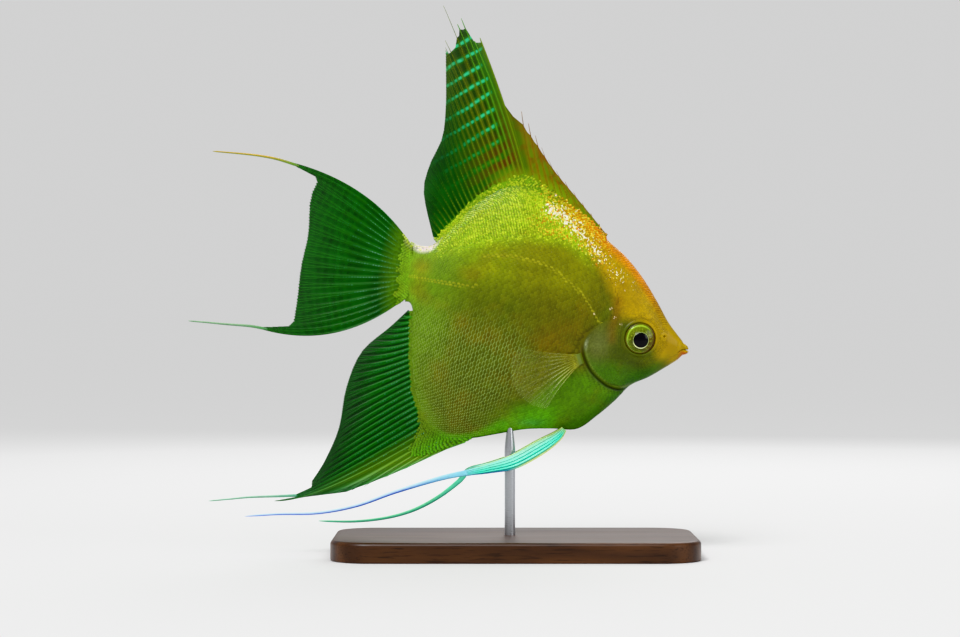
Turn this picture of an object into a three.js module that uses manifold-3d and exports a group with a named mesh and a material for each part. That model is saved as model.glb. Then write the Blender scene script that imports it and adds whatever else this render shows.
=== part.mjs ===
// A freshwater angelfish (Pterophyllum scalare, gold form), life size, swimming with its head a
// little down, as a still model on a plain display stand.
//
// Frame: millimetres, +Z up, the fish faces +X and its left side is +Y. The origin is the middle of
// the underside of the stand's base. Along the fish, sizes are in hundredths of its standard length,
// the way fish are measured: a runs back from the snout, h runs up from the body's own axis.
import * as THREE from "three";
import { mergeVertices } from "three/addons/utils/BufferGeometryUtils.js";
import Module from "manifold-3d";

// ---- Driving dimensions ---------------------------------------------------------------------
const STANDARD_LENGTH = 86; // snout to the end of the tail stem
const HEAD_DOWN = THREE.MathUtils.degToRad(15.9);
const SNOUT = new THREE.Vector3(51.5, 0, 61); // where the snout is held, above the base
const GAP = 0.3; // between neighbouring pieces
const BASE = { length: 108, width: 58, thickness: 6, corner: 12, chamfer: 1.2 };
const ROD = { radius: 1.6, x: -1.5, sunkInBelly: 5, foot: 2 }; // its foot's height in the base
const WEB = 0.5; // thickness of a fin membrane
const RAY = 0.86; // thickness over a fin ray
const FIN_ROOT = 1.7; // thickness of a fin where it meets the body
const SEAT = 1.0; // how far the body's edge is cut back to seat a fin
const CLEAR = 30; // how far a cutting tool reaches, well past the body's sides

const U = STANDARD_LENGTH / 100; // millimetres in a hundredth of the standard length
const { degToRad, lerp, smoothstep, clamp } = THREE.MathUtils;
const wasm = await Module();
wasm.setup();

// ---- Points, curves and solids --------------------------------------------------------------
// A place in the fish's middle plane, from hundredths of the standard length to millimetres.
const place = ([a, h]) => new THREE.Vector2(-a * U, h * U);
const curveThrough = (points) => new THREE.SplineCurve(points.map(place));
const raise = (p, y = 0) => new THREE.Vector3(p.x, y, p.y);

// A closed geometry as a manifold-3d solid.
function solidOf(geometry) {
  const bare = geometry.clone();
  bare.deleteAttribute("normal");
  bare.deleteAttribute("uv");
  const merged = mergeVertices(bare, 1e-4);
  return new wasm.Manifold(
    new wasm.Mesh({
      numProp: 3,
      vertProperties: merged.attributes.position.array,
      triVerts: new Uint32Array(merged.index.array),
    }),
  );
}

// A manifold-3d solid as a geometry.
function geometryOf(solid) {
  const mesh = solid.getMesh();
  const position = new THREE.BufferAttribute(mesh.vertProperties, 3);
  return new THREE.BufferGeometry()
    .setAttribute("position", position)
    .setIndex(new THREE.BufferAttribute(mesh.triVerts, 1));
}

const byVolume = (solid) => solid.decompose().sort((a, b) => b.volume() - a.volume());
const largest = (solid) => byVolume(solid)[0];

// A flat outline in the middle plane, as a prism from y = low to y = high.
function prism(outline, low, high) {
  const flat = new THREE.ExtrudeGeometry(new THREE.Shape(outline), {
    depth: high - low,
    bevelEnabled: false,
  });
  return solidOf(flat.rotateX(Math.PI / 2).translate(0, high, 0));
}

// A band of even width along a line of points: the tool of a thin cut.
function band(points, width) {
  const side = (sign) =>
    points.map((p, i) => {
      const before = points[Math.max(i - 1, 0)];
      const after = points[Math.min(i + 1, points.length - 1)];
      const along = after.clone().sub(before).normalize();
      return new THREE.Vector2(-along.y, along.x).multiplyScalar((sign * width) / 2).add(p);
    });
  return [...side(1), ...side(-1).reverse()];
}
const thinCut = (points, width = GAP) => prism(band(points, width), -CLEAR, CLEAR);

// A thin closed sheet: a grid of places on its middle surface, each with the half thickness there,
// laid out alike on both faces.
function sheet(columns, rows, middle, half) {
  const positions = [];
  const vertex = (side, i, j) => (side * columns + i) * rows + j;
  for (const side of [0, 1]) {
    for (let i = 0; i < columns; i++) {
      for (let j = 0; j < rows; j++) {
        const p = middle(i, j);
        const off = (side ? -1 : 1) * half(i, j);
        positions.push(p.x, p.y + off, p.z);
      }
    }
  }
  const faces = [];
  const quad = (a, b, c, d) => faces.push(a, b, c, a, c, d);
  for (let i = 0; i + 1 < columns; i++) {
    for (let j = 0; j + 1 < rows; j++) {
      const corners = [[i, j], [i + 1, j], [i + 1, j + 1], [i, j + 1]];
      const [a, b, c, d] = corners.map(([x, z]) => vertex(0, x, z));
      const [e, f, g, k] = corners.map(([x, z]) => vertex(1, x, z));
      quad(a, b, c, d);
      faces.push(e, g, f, e, k, g);
    }
    quad(vertex(0, i + 1, 0), vertex(0, i, 0), vertex(1, i, 0), vertex(1, i + 1, 0));
    const j = rows - 1;
    quad(vertex(0, i, j), vertex(0, i + 1, j), vertex(1, i + 1, j), vertex(1, i, j));
  }
  for (let j = 0; j + 1 < rows; j++) {
    const i = columns - 1;
    quad(vertex(0, 0, j), vertex(0, 0, j + 1), vertex(1, 0, j + 1), vertex(1, 0, j));
    quad(vertex(0, i, j + 1), vertex(0, i, j), vertex(1, i, j), vertex(1, i, j + 1));
  }
  const geometry = new THREE.BufferGeometry()
    .setAttribute("position", new THREE.Float32BufferAttribute(positions, 3))
    .setIndex(faces);
  const solid = solidOf(geometry);
  if (solid.volume() > 0) return solid;
  for (let k = 0; k < faces.length; k += 3) [faces[k], faces[k + 1]] = [faces[k + 1], faces[k]];
  return solidOf(geometry.setIndex(faces));
}

// ---- The body --------------------------------------------------------------------------------
// Stations from the lips to the end of the tail stem. Each joins a point of the back's outline to
// one of the belly's, with half the body's width there and how far its edges are pinched: 1 makes
// an ellipse and more makes a leaf's section.
const STATIONS = [
  { back: [0.5, 0.9], belly: [-0.3, -0.9], half: 1.2, pinch: 0.9 },
  { back: [2.5, 2.5], belly: [1.0, -2.9], half: 2.2, pinch: 0.9 },
  { back: [5.1, 4.4], belly: [3.2, -5.2], half: 3.1, pinch: 0.9 },
  { back: [9.4, 7.8], belly: [6.8, -9.1], half: 4.3, pinch: 0.9 },
  { back: [14.8, 13.3], belly: [10.7, -13.1], half: 5.5, pinch: 0.95 },
  { back: [21.4, 19.4], belly: [15.9, -17.5], half: 6.5, pinch: 1.0 },
  { back: [29.1, 25.0], belly: [19.5, -23.9], half: 7.2, pinch: 1.05 },
  { back: [37.7, 29.3], belly: [24.0, -30.6], half: 7.6, pinch: 1.15 },
  { back: [46.7, 33.9], belly: [29.4, -36.9], half: 7.7, pinch: 1.25 },
  { back: [56.8, 37.8], belly: [37.8, -39.2], half: 7.5, pinch: 1.3 },
  { back: [67.4, 39.8], belly: [46.7, -42.0], half: 7.0, pinch: 1.35 },
  { back: [73.4, 39.0], belly: [55.5, -46.2], half: 6.4, pinch: 1.35 },
  { back: [78.6, 35.9], belly: [64.1, -50.2], half: 5.8, pinch: 1.35 },
  { back: [83.0, 31.4], belly: [72.5, -52.3], half: 5.1, pinch: 1.3 },
  { back: [86.4, 26.7], belly: [80.2, -48.7], half: 4.5, pinch: 1.25 },
  { back: [89.2, 21.6], belly: [86.3, -40.7], half: 3.9, pinch: 1.2 },
  { back: [91.6, 17.1], belly: [90.7, -30.1], half: 3.4, pinch: 1.1 },
  { back: [93.3, 13.2], belly: [93.6, -20.1], half: 3.0, pinch: 1.0 },
  { back: [95.4, 10.6], belly: [95.3, -13.0], half: 2.7, pinch: 0.95 },
  { back: [99.1, 9.5], belly: [97.0, -10.7], half: 2.2, pinch: 0.9 },
  { back: [102.5, 10.1], belly: [98.7, -10.8], half: 1.5, pinch: 0.85 },
];
const LAST = STATIONS.length - 1;
const BACK = curveThrough(STATIONS.map((s) => s.back));
const BELLY = curveThrough(STATIONS.map((s) => s.belly));
const SECTION = new THREE.SplineCurve(STATIONS.map((s) => new THREE.Vector2(s.half, s.pinch)));

// The point of the skin at a share t of the way along the stations and an angle round the section,
// from 0 at the left side's middle, by a quarter turn at the back, to the right side.
function skin(t, angle, fullness = 1) {
  const [back, belly, section] = [BACK, BELLY, SECTION].map((curve) => curve.getPoint(t));
  const side = Math.cos(angle);
  const width = section.x * U * Math.sign(side) * Math.abs(side) ** section.y * fullness;
  return raise(belly.lerp(back, (1 + Math.sin(angle)) / 2), width);
}

const GRAIN = [46, 26]; // facets along and round the body
function bodySolid(along, around, fullness = 1) {
  const positions = [];
  for (let i = 0; i <= along; i++) {
    for (let k = 0; k < around; k++) {
      positions.push(...skin(i / along, (k / around) * 2 * Math.PI, fullness).toArray());
    }
  }
  const ends = [0, 1].map((t) => {
    positions.push(...raise(BACK.getPoint(t).lerp(BELLY.getPoint(t), 0.5)).toArray());
    return positions.length / 3 - 1;
  });
  const faces = [];
  for (let k = 0; k < around; k++) {
    const next = (k + 1) % around;
    for (let i = 0; i < along; i++) {
      const [a, b] = [i * around + k, i * around + next];
      const [c, d] = [a + around, b + around];
      faces.push(a, d, b, a, c, d);
    }
    faces.push(ends[0], k, next, ends[1], along * around + next, along * around + k);
  }
  return solidOf(
    new THREE.BufferGeometry()
      .setAttribute("position", new THREE.Float32BufferAttribute(positions, 3))
      .setIndex(faces),
  );
}

// How far out the skin is at a place of the side, found by halving between the stations.
const HALVINGS = 30;
function skinHalfWidth(spot) {
  const p = place(spot);
  let [low, high] = [0, 1];
  for (let n = 0; n < HALVINGS; n++) {
    const t = (low + high) / 2;
    const [back, belly] = [BACK.getPoint(t), BELLY.getPoint(t)];
    if (back.clone().sub(belly).cross(p.clone().sub(belly)) > 0) low = t;
    else high = t;
  }
  const [back, belly] = [BACK.getPoint(low), BELLY.getPoint(low)];
  const chord = back.clone().sub(belly);
  const share = clamp(p.clone().sub(belly).dot(chord) / chord.lengthSq(), 0, 1);
  return skin(low, Math.asin(2 * share - 1)).y;
}

// ---- Where the body is parted ----------------------------------------------------------------
const GILL_OPENING = [
  [35.2, 31.5], [37.0, 16.5], [36.9, 5.7], [36.2, -3.1], [34.8, -9.6], [31.2, -14.9], [26.5, -18.3],
  [21.8, -20.3], [17.0, -23.0],
];
const STEM_FRONT = [[97.0, 14.0], [96.2, 6.0], [95.4, -2.0], [95.9, -10.0], [97.0, -15.0]];
const MOUTH_LINE = [[-2.0, 0.9], [0.7, -0.2], [1.9, -1.1], [3.1, -3.0]];
const JAW_REAR = [[3.1, -3.0], [5.4, -5.6], [7.6, -8.3], [9.2, -13.5]];
const MOUTH_WIDTH = 0.5;
const alongLine = (points, count) => curveThrough(points).getPoints(count);

// ---- Head: lips, nostrils, eyes and gill covers -----------------------------------------------
const LIPS = [
  { centre: [2.0, 0.9], radii: [1.7, 0.95, 1.9], tilt: -30 },
  { centre: [1.2, -1.5], radii: [1.7, 1.0, 1.8], tilt: 38 },
];
function lip({ centre, radii: [long, high, wide], tilt }) {
  const ball = new THREE.SphereGeometry(1, 14, 10).scale(long * U, wide * U, high * U);
  const at = raise(place(centre));
  return solidOf(ball.rotateY(degToRad(tilt)).translate(at.x, at.y, at.z));
}

const NOSTRIL = { at: [9.4, 2.2], radius: 0.5, depth: 0.9 };
function nostril(side) {
  const at = raise(place(NOSTRIL.at), side * skinHalfWidth(NOSTRIL.at));
  const pit = new THREE.SphereGeometry(1, 10, 8).scale(NOSTRIL.radius, NOSTRIL.depth, NOSTRIL.radius);
  return solidOf(pit.translate(at.x, at.y, at.z));
}

// The eye is a plug with a domed front: a pupil a little proud of the iris, and a rolled rim.
const EYE = {
  at: [17.4, -0.7],
  radius: 4.5,
  depth: 2.6,
  sunk: 0.35,
  dome: 1.25,
  rings: [1, 0.97, 0.86, 0.66, 0.47, 0.44],
  facets: 24,
  forward: 7,
};
function eyeProfile() {
  const { radius, depth, dome, rings } = EYE;
  const [rim, backEdge] = rings;
  const front = rings.map((ring) => new THREE.Vector2(radius * ring, dome * (rim - ring ** 2.4)));
  const back = new THREE.Vector2(radius * backEdge, -depth);
  return [new THREE.Vector2(0, -depth), back, ...front, new THREE.Vector2(0, dome)];
}
function setInHead(geometry, side) {
  const out = skinHalfWidth(EYE.at) - EYE.sunk;
  const at = raise(place(EYE.at), side * out);
  const turn = (side > 0 ? 0 : Math.PI) - side * degToRad(EYE.forward);
  return solidOf(geometry.rotateZ(turn).translate(at.x, at.y, at.z));
}
const eye = (side) => setInHead(new THREE.LatheGeometry(eyeProfile(), EYE.facets), side);
const SOCKET_RISE = 4; // how far the socket's bore goes on past the eye's rim
const eyeSocket = (side) => {
  const [radius, floor] = [EYE.radius + GAP, EYE.depth + GAP];
  const bore = new THREE.CylinderGeometry(radius, radius, floor + SOCKET_RISE, EYE.facets);
  return setInHead(bore.translate(0, (SOCKET_RISE - floor) / 2, 0), side);
};

// The gill cover is a plate that follows the cheek, stands a little proud of it and ends at the
// gill opening.
const GILL_COVER = [
  [33.6, -1.6], [34.6, -4.5], [34.2, -8.6], [31.0, -13.6], [27.0, -16.9], [22.0, -18.3], [18.2, -17.2],
  [19.6, -12.6], [23.6, -7.8], [27.4, -3.2], [31.0, -0.8],
];
const COVER = { points: 26, proud: 1.055, underside: 0.84, floor: 0.8, bed: 2.4 };
function coverOutline(grown) {
  const ring = curveThrough([...GILL_COVER, GILL_COVER[0]]).getPoints(COVER.points).slice(0, -1);
  const middle = ring.reduce((sum, p) => sum.add(p), new THREE.Vector2()).divideScalar(ring.length);
  return ring.map((p) => {
    const out = p.clone().sub(middle);
    return out.setLength(out.length() + grown).add(middle);
  });
}
const coverPrism = (side, grown) =>
  prism(coverOutline(grown), side > 0 ? COVER.bed : -CLEAR, side > 0 ? CLEAR : -COVER.bed);

// ---- Fins ------------------------------------------------------------------------------------
// One fin ray: it leaves its base at an angle to the body's axis and bends towards its tip, at a
// share of its length.
function finRay(base, tip, angle, bend = 0.5) {
  const reach = base.distanceTo(tip) * bend;
  const heading = new THREE.Vector2(-Math.cos(degToRad(angle)), Math.sin(degToRad(angle)));
  return new THREE.QuadraticBezierCurve(base, heading.multiplyScalar(reach).add(base), tip);
}

// The web stops short of the ray tips by a share of the ray: far between spines, a little between
// soft rays, and not at all in a pair that a streamer goes on from.
const NOTCH = { spine: 0.17, ray: 0.03 };
const webNotch = (spines, ...flush) => (pair) => {
  if (flush.includes(pair)) return 0;
  return pair < spines - 1 ? NOTCH.spine : NOTCH.ray;
};

// A fin's rays with the web between them: even columns run up the rays and odd ones up the web.
// The first row is the root, let into the body by sunk.
function finSheet({ rays, inward, rows, sunk, sway, notch, root = FIN_ROOT, grown = 0 }) {
  const share = (j) => clamp((j - 1) / (rows - 2), 0, 1);
  const flat = (i, j) => {
    const [one, two] = [rays[Math.floor(i / 2)], rays[Math.ceil(i / 2)]];
    const v = share(j) * (i % 2 ? 1 - notch((i - 1) / 2) : 1);
    const at = one.getPoint(v).lerp(two.getPoint(v), 0.5);
    return j === 0 ? inward(i / (2 * rays.length - 2)).multiplyScalar(sunk).add(at) : at;
  };
  const middle = (i, j) => {
    const p = flat(i, j);
    return raise(p, sway(p, share(j)));
  };
  const half = (i, j) => {
    const thin = (i % 2 ? WEB : RAY) / 2;
    const thick = (root / 2) * (i % 2 ? 0.9 : 1);
    const towardsTip = i % 2 ? 1 : lerp(1, 0.7, share(j));
    return (j < 2 ? thick : lerp(thick, thin, smoothstep(share(j), 0, 0.3)) * towardsTip) + grown;
  };
  return sheet(2 * rays.length - 1, rows, middle, half);
}

// The part of an edge of the body that a fin stands on, its heading and the way into the body.
const BASE_STEPS = 24;
function finBase(edge, from, to) {
  const steps = Array.from({ length: BASE_STEPS + 1 }, (_, k) => lerp(from, to, k / BASE_STEPS));
  return new THREE.SplineCurve(steps.map((t) => edge.getPoint(t)));
}
const headingOf = (base, share) => base.getTangentAt(clamp(share, 0.002, 0.998));
function inwardOf(base, sign) {
  return (share) => {
    const along = headingOf(base, share);
    return new THREE.Vector2(-along.y, along.x).multiplyScalar(sign);
  };
}
// The strip cut from the body's edge so that the fin's root has a flat seat, a gap longer than the
// root at either end.
const SEAT_STEPS = 30;
const SEAT_RISE = 3; // how far the cut goes on past the edge
function seatCut(base, inward) {
  const low = [];
  const high = [];
  for (let k = 0; k <= SEAT_STEPS; k++) {
    const share = k / SEAT_STEPS;
    const end = k === 0 ? -GAP : k === SEAT_STEPS ? GAP : 0;
    const at = headingOf(base, share).multiplyScalar(end).add(base.getPointAt(share));
    low.push(inward(share).multiplyScalar(SEAT).add(at));
    high.push(inward(share).multiplyScalar(-SEAT_RISE).add(at));
  }
  return prism([...low, ...high.reverse()], -CLEAR, CLEAR);
}

// Where the tips of count rays stand along an edge, evenly.
const tipsAlong = (edge, count) =>
  Array.from({ length: count }, (_, k) => edge.getPointAt(count > 1 ? k / (count - 1) : 0));

function raysFrom(base, tips, { angle, bend = () => 0.5 }) {
  return tips.map((tip, k) => {
    const share = k / (tips.length - 1);
    return finRay(base.getPointAt(share), tip, angle(share), bend(share));
  });
}

// Dorsal fin: 12 spines that lengthen backwards, then soft rays swept up into a tall sail.
const DORSAL = {
  from: 7 / LAST,
  to: 17.3 / LAST,
  spines: 12,
  spineTips: [[37.6, 30.9], [44.6, 36.0], [52.6, 41.6], [63.4, 49.2], [71.0, 56.7], [78.0, 63.4]],
  sailTips: [[98.8, 84.3], [100.5, 82.6], [107.0, 89.2], [107.7, 86.7], [114.3, 92.0]],
  rearTips: [
    [110.2, 80.2], [107.0, 69.5], [103.8, 58.2], [102.0, 47.5], [103.6, 37.5], [103.0, 27.5], [95.6, 13.6],
  ],
  rearRays: 19,
  rows: 8,
  angle: (share) => lerp(57, 38, smoothstep(share, 0.3, 1)),
  sway: (p, share) => 2.2 * share ** 2 * Math.sin(p.x / 9),
};
// Anal fin: 6 spines, then soft rays that trail down and back. A streamer goes on from two of them.
const ANAL = {
  from: 12 / LAST,
  to: 18 / LAST,
  spines: 6,
  spineTips: [[65.5, -52.0], [72.5, -57.0], [83.5, -66.9], [94.9, -76.2]],
  sailTips: [[100.7, -79.9], [124.0, -89.8]],
  sailRear: [[112.4, -81.6]],
  rearTips: [
    [112.9, -79.4], [110.5, -71.5], [108.8, -59.0], [110.2, -45.0], [108.6, -31.6], [101.4, -20.5],
    [97.0, -13.2],
  ],
  rearRays: 21,
  rows: 8,
  angle: (share) => lerp(-47, -36, smoothstep(share, 0.25, 1)),
  bend: (share) => lerp(0.8, 0.5, smoothstep(share, 0.2, 0.6)),
  sway: (p, share) => -2.0 * share ** 2 * Math.sin(p.y / 10),
  streamer: [[117.0, -85.8], [121.9, -87.4], [131.8, -90.6], [138.0, -93.0], [145.5, -95.9]],
};
// Tail fin: a fan that stands on the end of the stem, with a streamer at each corner.
const TAIL = {
  sunk: 0.7,
  root: 2.1,
  upperRear: [[140.5, 22.4]],
  rearTips: [[139.4, 20.8], [140.0, 14.2], [137.4, 2.3], [136.8, -8.3], [134.9, -20.3], [134.0, -27.8]],
  rearRays: 13,
  lowerRear: [[135.2, -29.9]],
  rows: 9,
  angle: (share) => lerp(40, -53, share),
  bend: (share) => lerp(0.5, 0.58, share),
  sway: (p) => -2.2 * (clamp(-p.x - 88, 0, 80) / 40) ** 2,
  upper: [[148.5, 24.4], [154.5, 24.5], [160.0, 24.0], [166.0, 23.0], [176.4, 20.9]],
  lower: [[143.5, -33.0], [148.1, -33.5], [156.6, -35.2], [162.0, -36.2], [168.6, -37.5]],
};

const dorsalBase = finBase(BACK, DORSAL.from, DORSAL.to);
const analBase = finBase(BELLY, ANAL.from, ANAL.to);
const behindStem = new THREE.Vector2(-GAP - TAIL.sunk, 0);
const tailBase = new THREE.LineCurve(
  BACK.getPoint(1).add(behindStem),
  BELLY.getPoint(1).add(behindStem),
);
const dorsalInward = inwardOf(dorsalBase, 1);
const analInward = inwardOf(analBase, -1);

// A tapered thread, with a ridge along the middle of each face. line gives its middle and its
// heading for a share of its length, and across is how far it reaches to either side.
function thread(line, rows, across, half, out) {
  return sheet(
    3,
    rows,
    (i, j) => {
      const share = j / (rows - 1);
      const { at, along } = line(share);
      const step = new THREE.Vector2(-along.y, along.x).multiplyScalar((i - 1) * across(share));
      return raise(at.add(step), out(at, share));
    },
    (i, j) => half(j / (rows - 1)) * (i === 1 ? 1 : 0.5),
  );
}

// A streamer of a fin's own plane, and the tips of the two rays that it goes on from.
const STREAMER = { root: 0.42, tip: 0.27, rows: 16 };
function streamer(points, sway) {
  const curve = curveThrough(points);
  const line = (share) => ({ at: curve.getPointAt(share), along: curve.getTangentAt(share) });
  const size = (share) => lerp(STREAMER.root, STREAMER.tip, share);
  return thread(line, STREAMER.rows, size, size, (at) => sway(at, 1));
}
function tipsBefore(points) {
  const curve = curveThrough(points);
  const along = curve.getTangentAt(0);
  const end = curve.getPointAt(0).sub(along.clone().multiplyScalar(GAP));
  const across = new THREE.Vector2(along.y, -along.x).multiplyScalar(STREAMER.root);
  return [end.clone().sub(across), end.clone().add(across)];
}

function dorsalFin() {
  const { sway, rows } = DORSAL;
  const tips = [
    ...tipsAlong(curveThrough(DORSAL.spineTips), DORSAL.spines),
    ...DORSAL.sailTips.map(place),
    ...tipsAlong(curveThrough(DORSAL.rearTips), DORSAL.rearRays),
  ];
  const rays = raysFrom(dorsalBase, tips, DORSAL);
  const notch = webNotch(DORSAL.spines);
  return finSheet({ rays, inward: dorsalInward, rows, sunk: SEAT - GAP, sway, notch });
}

function analFin() {
  const { sway, rows } = ANAL;
  const tips = [
    ...tipsAlong(curveThrough(ANAL.spineTips), ANAL.spines),
    ...ANAL.sailTips.map(place),
    ...tipsBefore(ANAL.streamer),
    ...ANAL.sailRear.map(place),
    ...tipsAlong(curveThrough(ANAL.rearTips), ANAL.rearRays),
  ];
  const notch = webNotch(ANAL.spines, ANAL.spines + ANAL.sailTips.length);
  const rays = raysFrom(analBase, tips, ANAL);
  return finSheet({ rays, inward: analInward, rows, sunk: SEAT - GAP, sway, notch });
}

function tailFin() {
  const { sway, rows, sunk, root } = TAIL;
  const tips = [
    ...tipsBefore(TAIL.upper).reverse(),
    ...TAIL.upperRear.map(place),
    ...tipsAlong(curveThrough(TAIL.rearTips), TAIL.rearRays),
    ...TAIL.lowerRear.map(place),
    ...tipsBefore(TAIL.lower).reverse(),
  ];
  const notch = webNotch(0, 0, tips.length - 2);
  const rays = raysFrom(tailBase, tips, TAIL);
  return finSheet({ rays, inward: () => new THREE.Vector2(1, 0), rows, sunk, sway, root, notch });
}

// Pectoral fin: a clear fan behind the gill cover, held back and away from the flank. It is made
// flat, spreading along -X, and then turned. Grown, it is the tool of the pocket for its root.
const PECTORAL = {
  at: [35.9, -13.4],
  rays: 10,
  rows: 7,
  length: 23,
  longestAt: 0.4,
  rounding: 0.6,
  spread: 58,
  bow: 0.75,
  cup: 1.4,
  base: 3.2,
  root: 1.1,
  sunk: 1.2,
  bedded: 0.1,
  out: 25,
  down: 36,
};
function pectoral(side, grown) {
  const { rays: count, rows, length, longestAt, rounding, spread, bow, cup } = PECTORAL;
  const base = PECTORAL.base + 2 * grown;
  const rays = Array.from({ length: count }, (_, k) => {
    const share = k / (count - 1);
    const angle = lerp(spread / 2, -spread / 2, share);
    const reach = length * (1 - rounding * Math.abs(share - longestAt) ** 1.6);
    const from = new THREE.Vector2(0, lerp(base / 2, -base / 2, share));
    const along = new THREE.Vector2(-Math.cos(degToRad(angle)), Math.sin(degToRad(angle)));
    return finRay(from, along.multiplyScalar(reach).add(from), angle * bow);
  });
  const inward = () => new THREE.Vector2(1, 0);
  const sway = (p, share) => cup * share ** 2;
  const { sunk, root, bedded } = PECTORAL;
  const notch = webNotch(0);
  const fan = finSheet({ rays, inward, rows, sunk: sunk + grown, sway, notch, root, grown });
  const out = skinHalfWidth(PECTORAL.at) - bedded;
  const at = raise(place(PECTORAL.at), side * out);
  const turned = geometryOf(fan)
    .rotateY(-degToRad(PECTORAL.down))
    .rotateZ(-degToRad(PECTORAL.out))
    .scale(1, side, 1)
    .translate(at.x, at.y, at.z);
  const faces = turned.index.array;
  for (let k = 0; side < 0 && k < faces.length; k += 3) {
    [faces[k], faces[k + 1]] = [faces[k + 1], faces[k]];
  }
  return solidOf(turned);
}

// Pelvic fins: a narrow blade of four ridged rays, then a long streamer that goes on from its end.
const PELVIC = {
  blade: [[33.9, -37.9], [35.6, -41.2], [40.1, -46.3], [47.4, -53.4], [55.2, -58.0], [61.4, -61.2]],
  right: [[70.2, -65.8], [83.9, -74.5], [95.2, -82.5], [107.2, -88.5], [120.4, -92.6], [131.2, -96.4]],
  left: [[63.8, -65.8], [69.2, -73.1], [76.2, -79.8], [84.5, -85.0], [95.0, -89.4], [107.2, -92.8]],
  width: [0.7, 1.35, 2.1, 2.0, 1.35, 0.8],
  streamerWidth: [0.55, 0.42, 0.34, 0.3, 0.27, 0.24],
  root: 2.1,
  outAtTip: 6.5,
  bladeShare: 0.47,
  bladeGrid: [9, 13],
  ray: RAY + 0.1,
  web: WEB + 0.14,
  edge: 0.6,
  thread: { root: 0.36, tip: 0.26, rows: 20 },
};
function pelvicFin(side) {
  const points = [...PELVIC.blade, ...(side < 0 ? PELVIC.right : PELVIC.left)];
  const widths = [...PELVIC.width, ...PELVIC.streamerWidth].map((w, k) => new THREE.Vector2(k, w));
  const [curve, width] = [curveThrough(points), new THREE.SplineCurve(widths)];
  const bladeLength = curve.getLength() * PELVIC.bladeShare;
  const gap = (GAP * PELVIC.bladeShare) / bladeLength;
  const stretch = (from, to) => ({
    line: (share) => {
      const t = lerp(from, to, share);
      return { at: curve.getPoint(t), along: curve.getTangent(t) };
    },
    across: (share) => width.getPoint(lerp(from, to, share)).y,
    out: (at, share) => side * (PELVIC.root + PELVIC.outAtTip * lerp(from, to, share) ** 1.3),
  });
  const blade = stretch(0, PELVIC.bladeShare);
  const trail = stretch(PELVIC.bladeShare + gap, 1);
  const [columns, rows] = PELVIC.bladeGrid;
  const bladeSheet = sheet(
    columns,
    rows,
    (i, j) => {
      const { at, along } = blade.line(j / (rows - 1));
      const reach = blade.across(j / (rows - 1)) * ((2 * i) / (columns - 1) - 1);
      const step = new THREE.Vector2(-along.y, along.x).multiplyScalar(reach);
      return raise(at.add(step), blade.out(at, j / (rows - 1)));
    },
    (i, j) => {
      const edge = i === 0 || i === columns - 1 ? PELVIC.edge : 1;
      return ((i % 2 ? PELVIC.ray : PELVIC.web) / 2) * lerp(1, 0.75, j / (rows - 1)) * edge;
    },
  );
  const { root, tip, rows: threadRows } = PELVIC.thread;
  const half = (share) => lerp(root, tip, share);
  const streamerThread = thread(trail.line, threadRows, trail.across, half, trail.out);
  return { blade: bladeSheet, streamer: streamerThread };
}
// The slot in the belly that the fin's root stands in.
const POCKET = { length: 4.2, width: PELVIC.ray + 2.3 * GAP, height: 2.4, pitch: 26, back: 0.4, down: 0.5 };
const pelvicPocket = (side) => {
  const at = raise(place(PELVIC.blade[0]), side * PELVIC.root);
  const room = new THREE.BoxGeometry(POCKET.length, POCKET.width, POCKET.height);
  room.rotateY(degToRad(POCKET.pitch));
  return solidOf(room.translate(at.x - POCKET.back, at.y, at.z - POCKET.down));
};

// ---- Stand -----------------------------------------------------------------------------------
const fish = new THREE.Group();
fish.rotation.y = HEAD_DOWN;
fish.position.copy(SNOUT);
fish.updateMatrixWorld(true);
const intoFish = fish.matrixWorld.clone().invert();
const ROD_FACETS = 20;
const BELLY_STEPS = 200;

function roundedPlate({ length, width, corner }, inset) {
  const [x, y, r] = [length / 2 - inset, width / 2 - inset, corner - inset];
  const outline = new THREE.Shape();
  outline.moveTo(-x + r, -y);
  outline.lineTo(x - r, -y);
  outline.absarc(x - r, -y + r, r, -Math.PI / 2, 0);
  outline.lineTo(x, y - r);
  outline.absarc(x - r, y - r, r, 0, Math.PI / 2);
  outline.lineTo(-x + r, y);
  outline.absarc(-x + r, y - r, r, Math.PI / 2, Math.PI);
  outline.lineTo(-x, -y + r);
  outline.absarc(-x + r, -y + r, r, Math.PI, 1.5 * Math.PI);
  return outline;
}
function standBase() {
  const { thickness, chamfer } = BASE;
  const plate = new THREE.ExtrudeGeometry(roundedPlate(BASE, chamfer), {
    depth: thickness - 2 * chamfer,
    bevelThickness: chamfer,
    bevelSize: chamfer,
    bevelSegments: 1,
    curveSegments: 6,
  });
  const bore = uprightRod(ROD.radius + GAP, ROD.foot, thickness + ROD.foot);
  return solidOf(plate.translate(0, 0, chamfer)).subtract(solidOf(bore));
}
function uprightRod(radius, low, high) {
  const rod = new THREE.CylinderGeometry(radius, radius, high - low, ROD_FACETS);
  return rod.rotateX(Math.PI / 2).translate(ROD.x, 0, (high + low) / 2);
}
// The height of the belly's edge over the rod.
function bellyHeight() {
  const heights = BELLY.getPoints(BELLY_STEPS)
    .map((p) => raise(p).applyMatrix4(fish.matrixWorld))
    .filter((p) => Math.abs(p.x - ROD.x) < ROD.radius);
  return Math.min(...heights.map((p) => p.z));
}

// ---- Building the pieces ---------------------------------------------------------------------
const bothSides = (make) => make(1).add(make(-1));
const dorsal = dorsalFin();
const anal = analFin();
const tail = tailFin();
const analStreamer = streamer(ANAL.streamer, ANAL.sway);
const [upperStreamer, lowerStreamer] = [TAIL.upper, TAIL.lower].map((path) => streamer(path, TAIL.sway));
const pelvicRight = pelvicFin(-1);
const pelvicLeft = pelvicFin(1);

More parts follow.
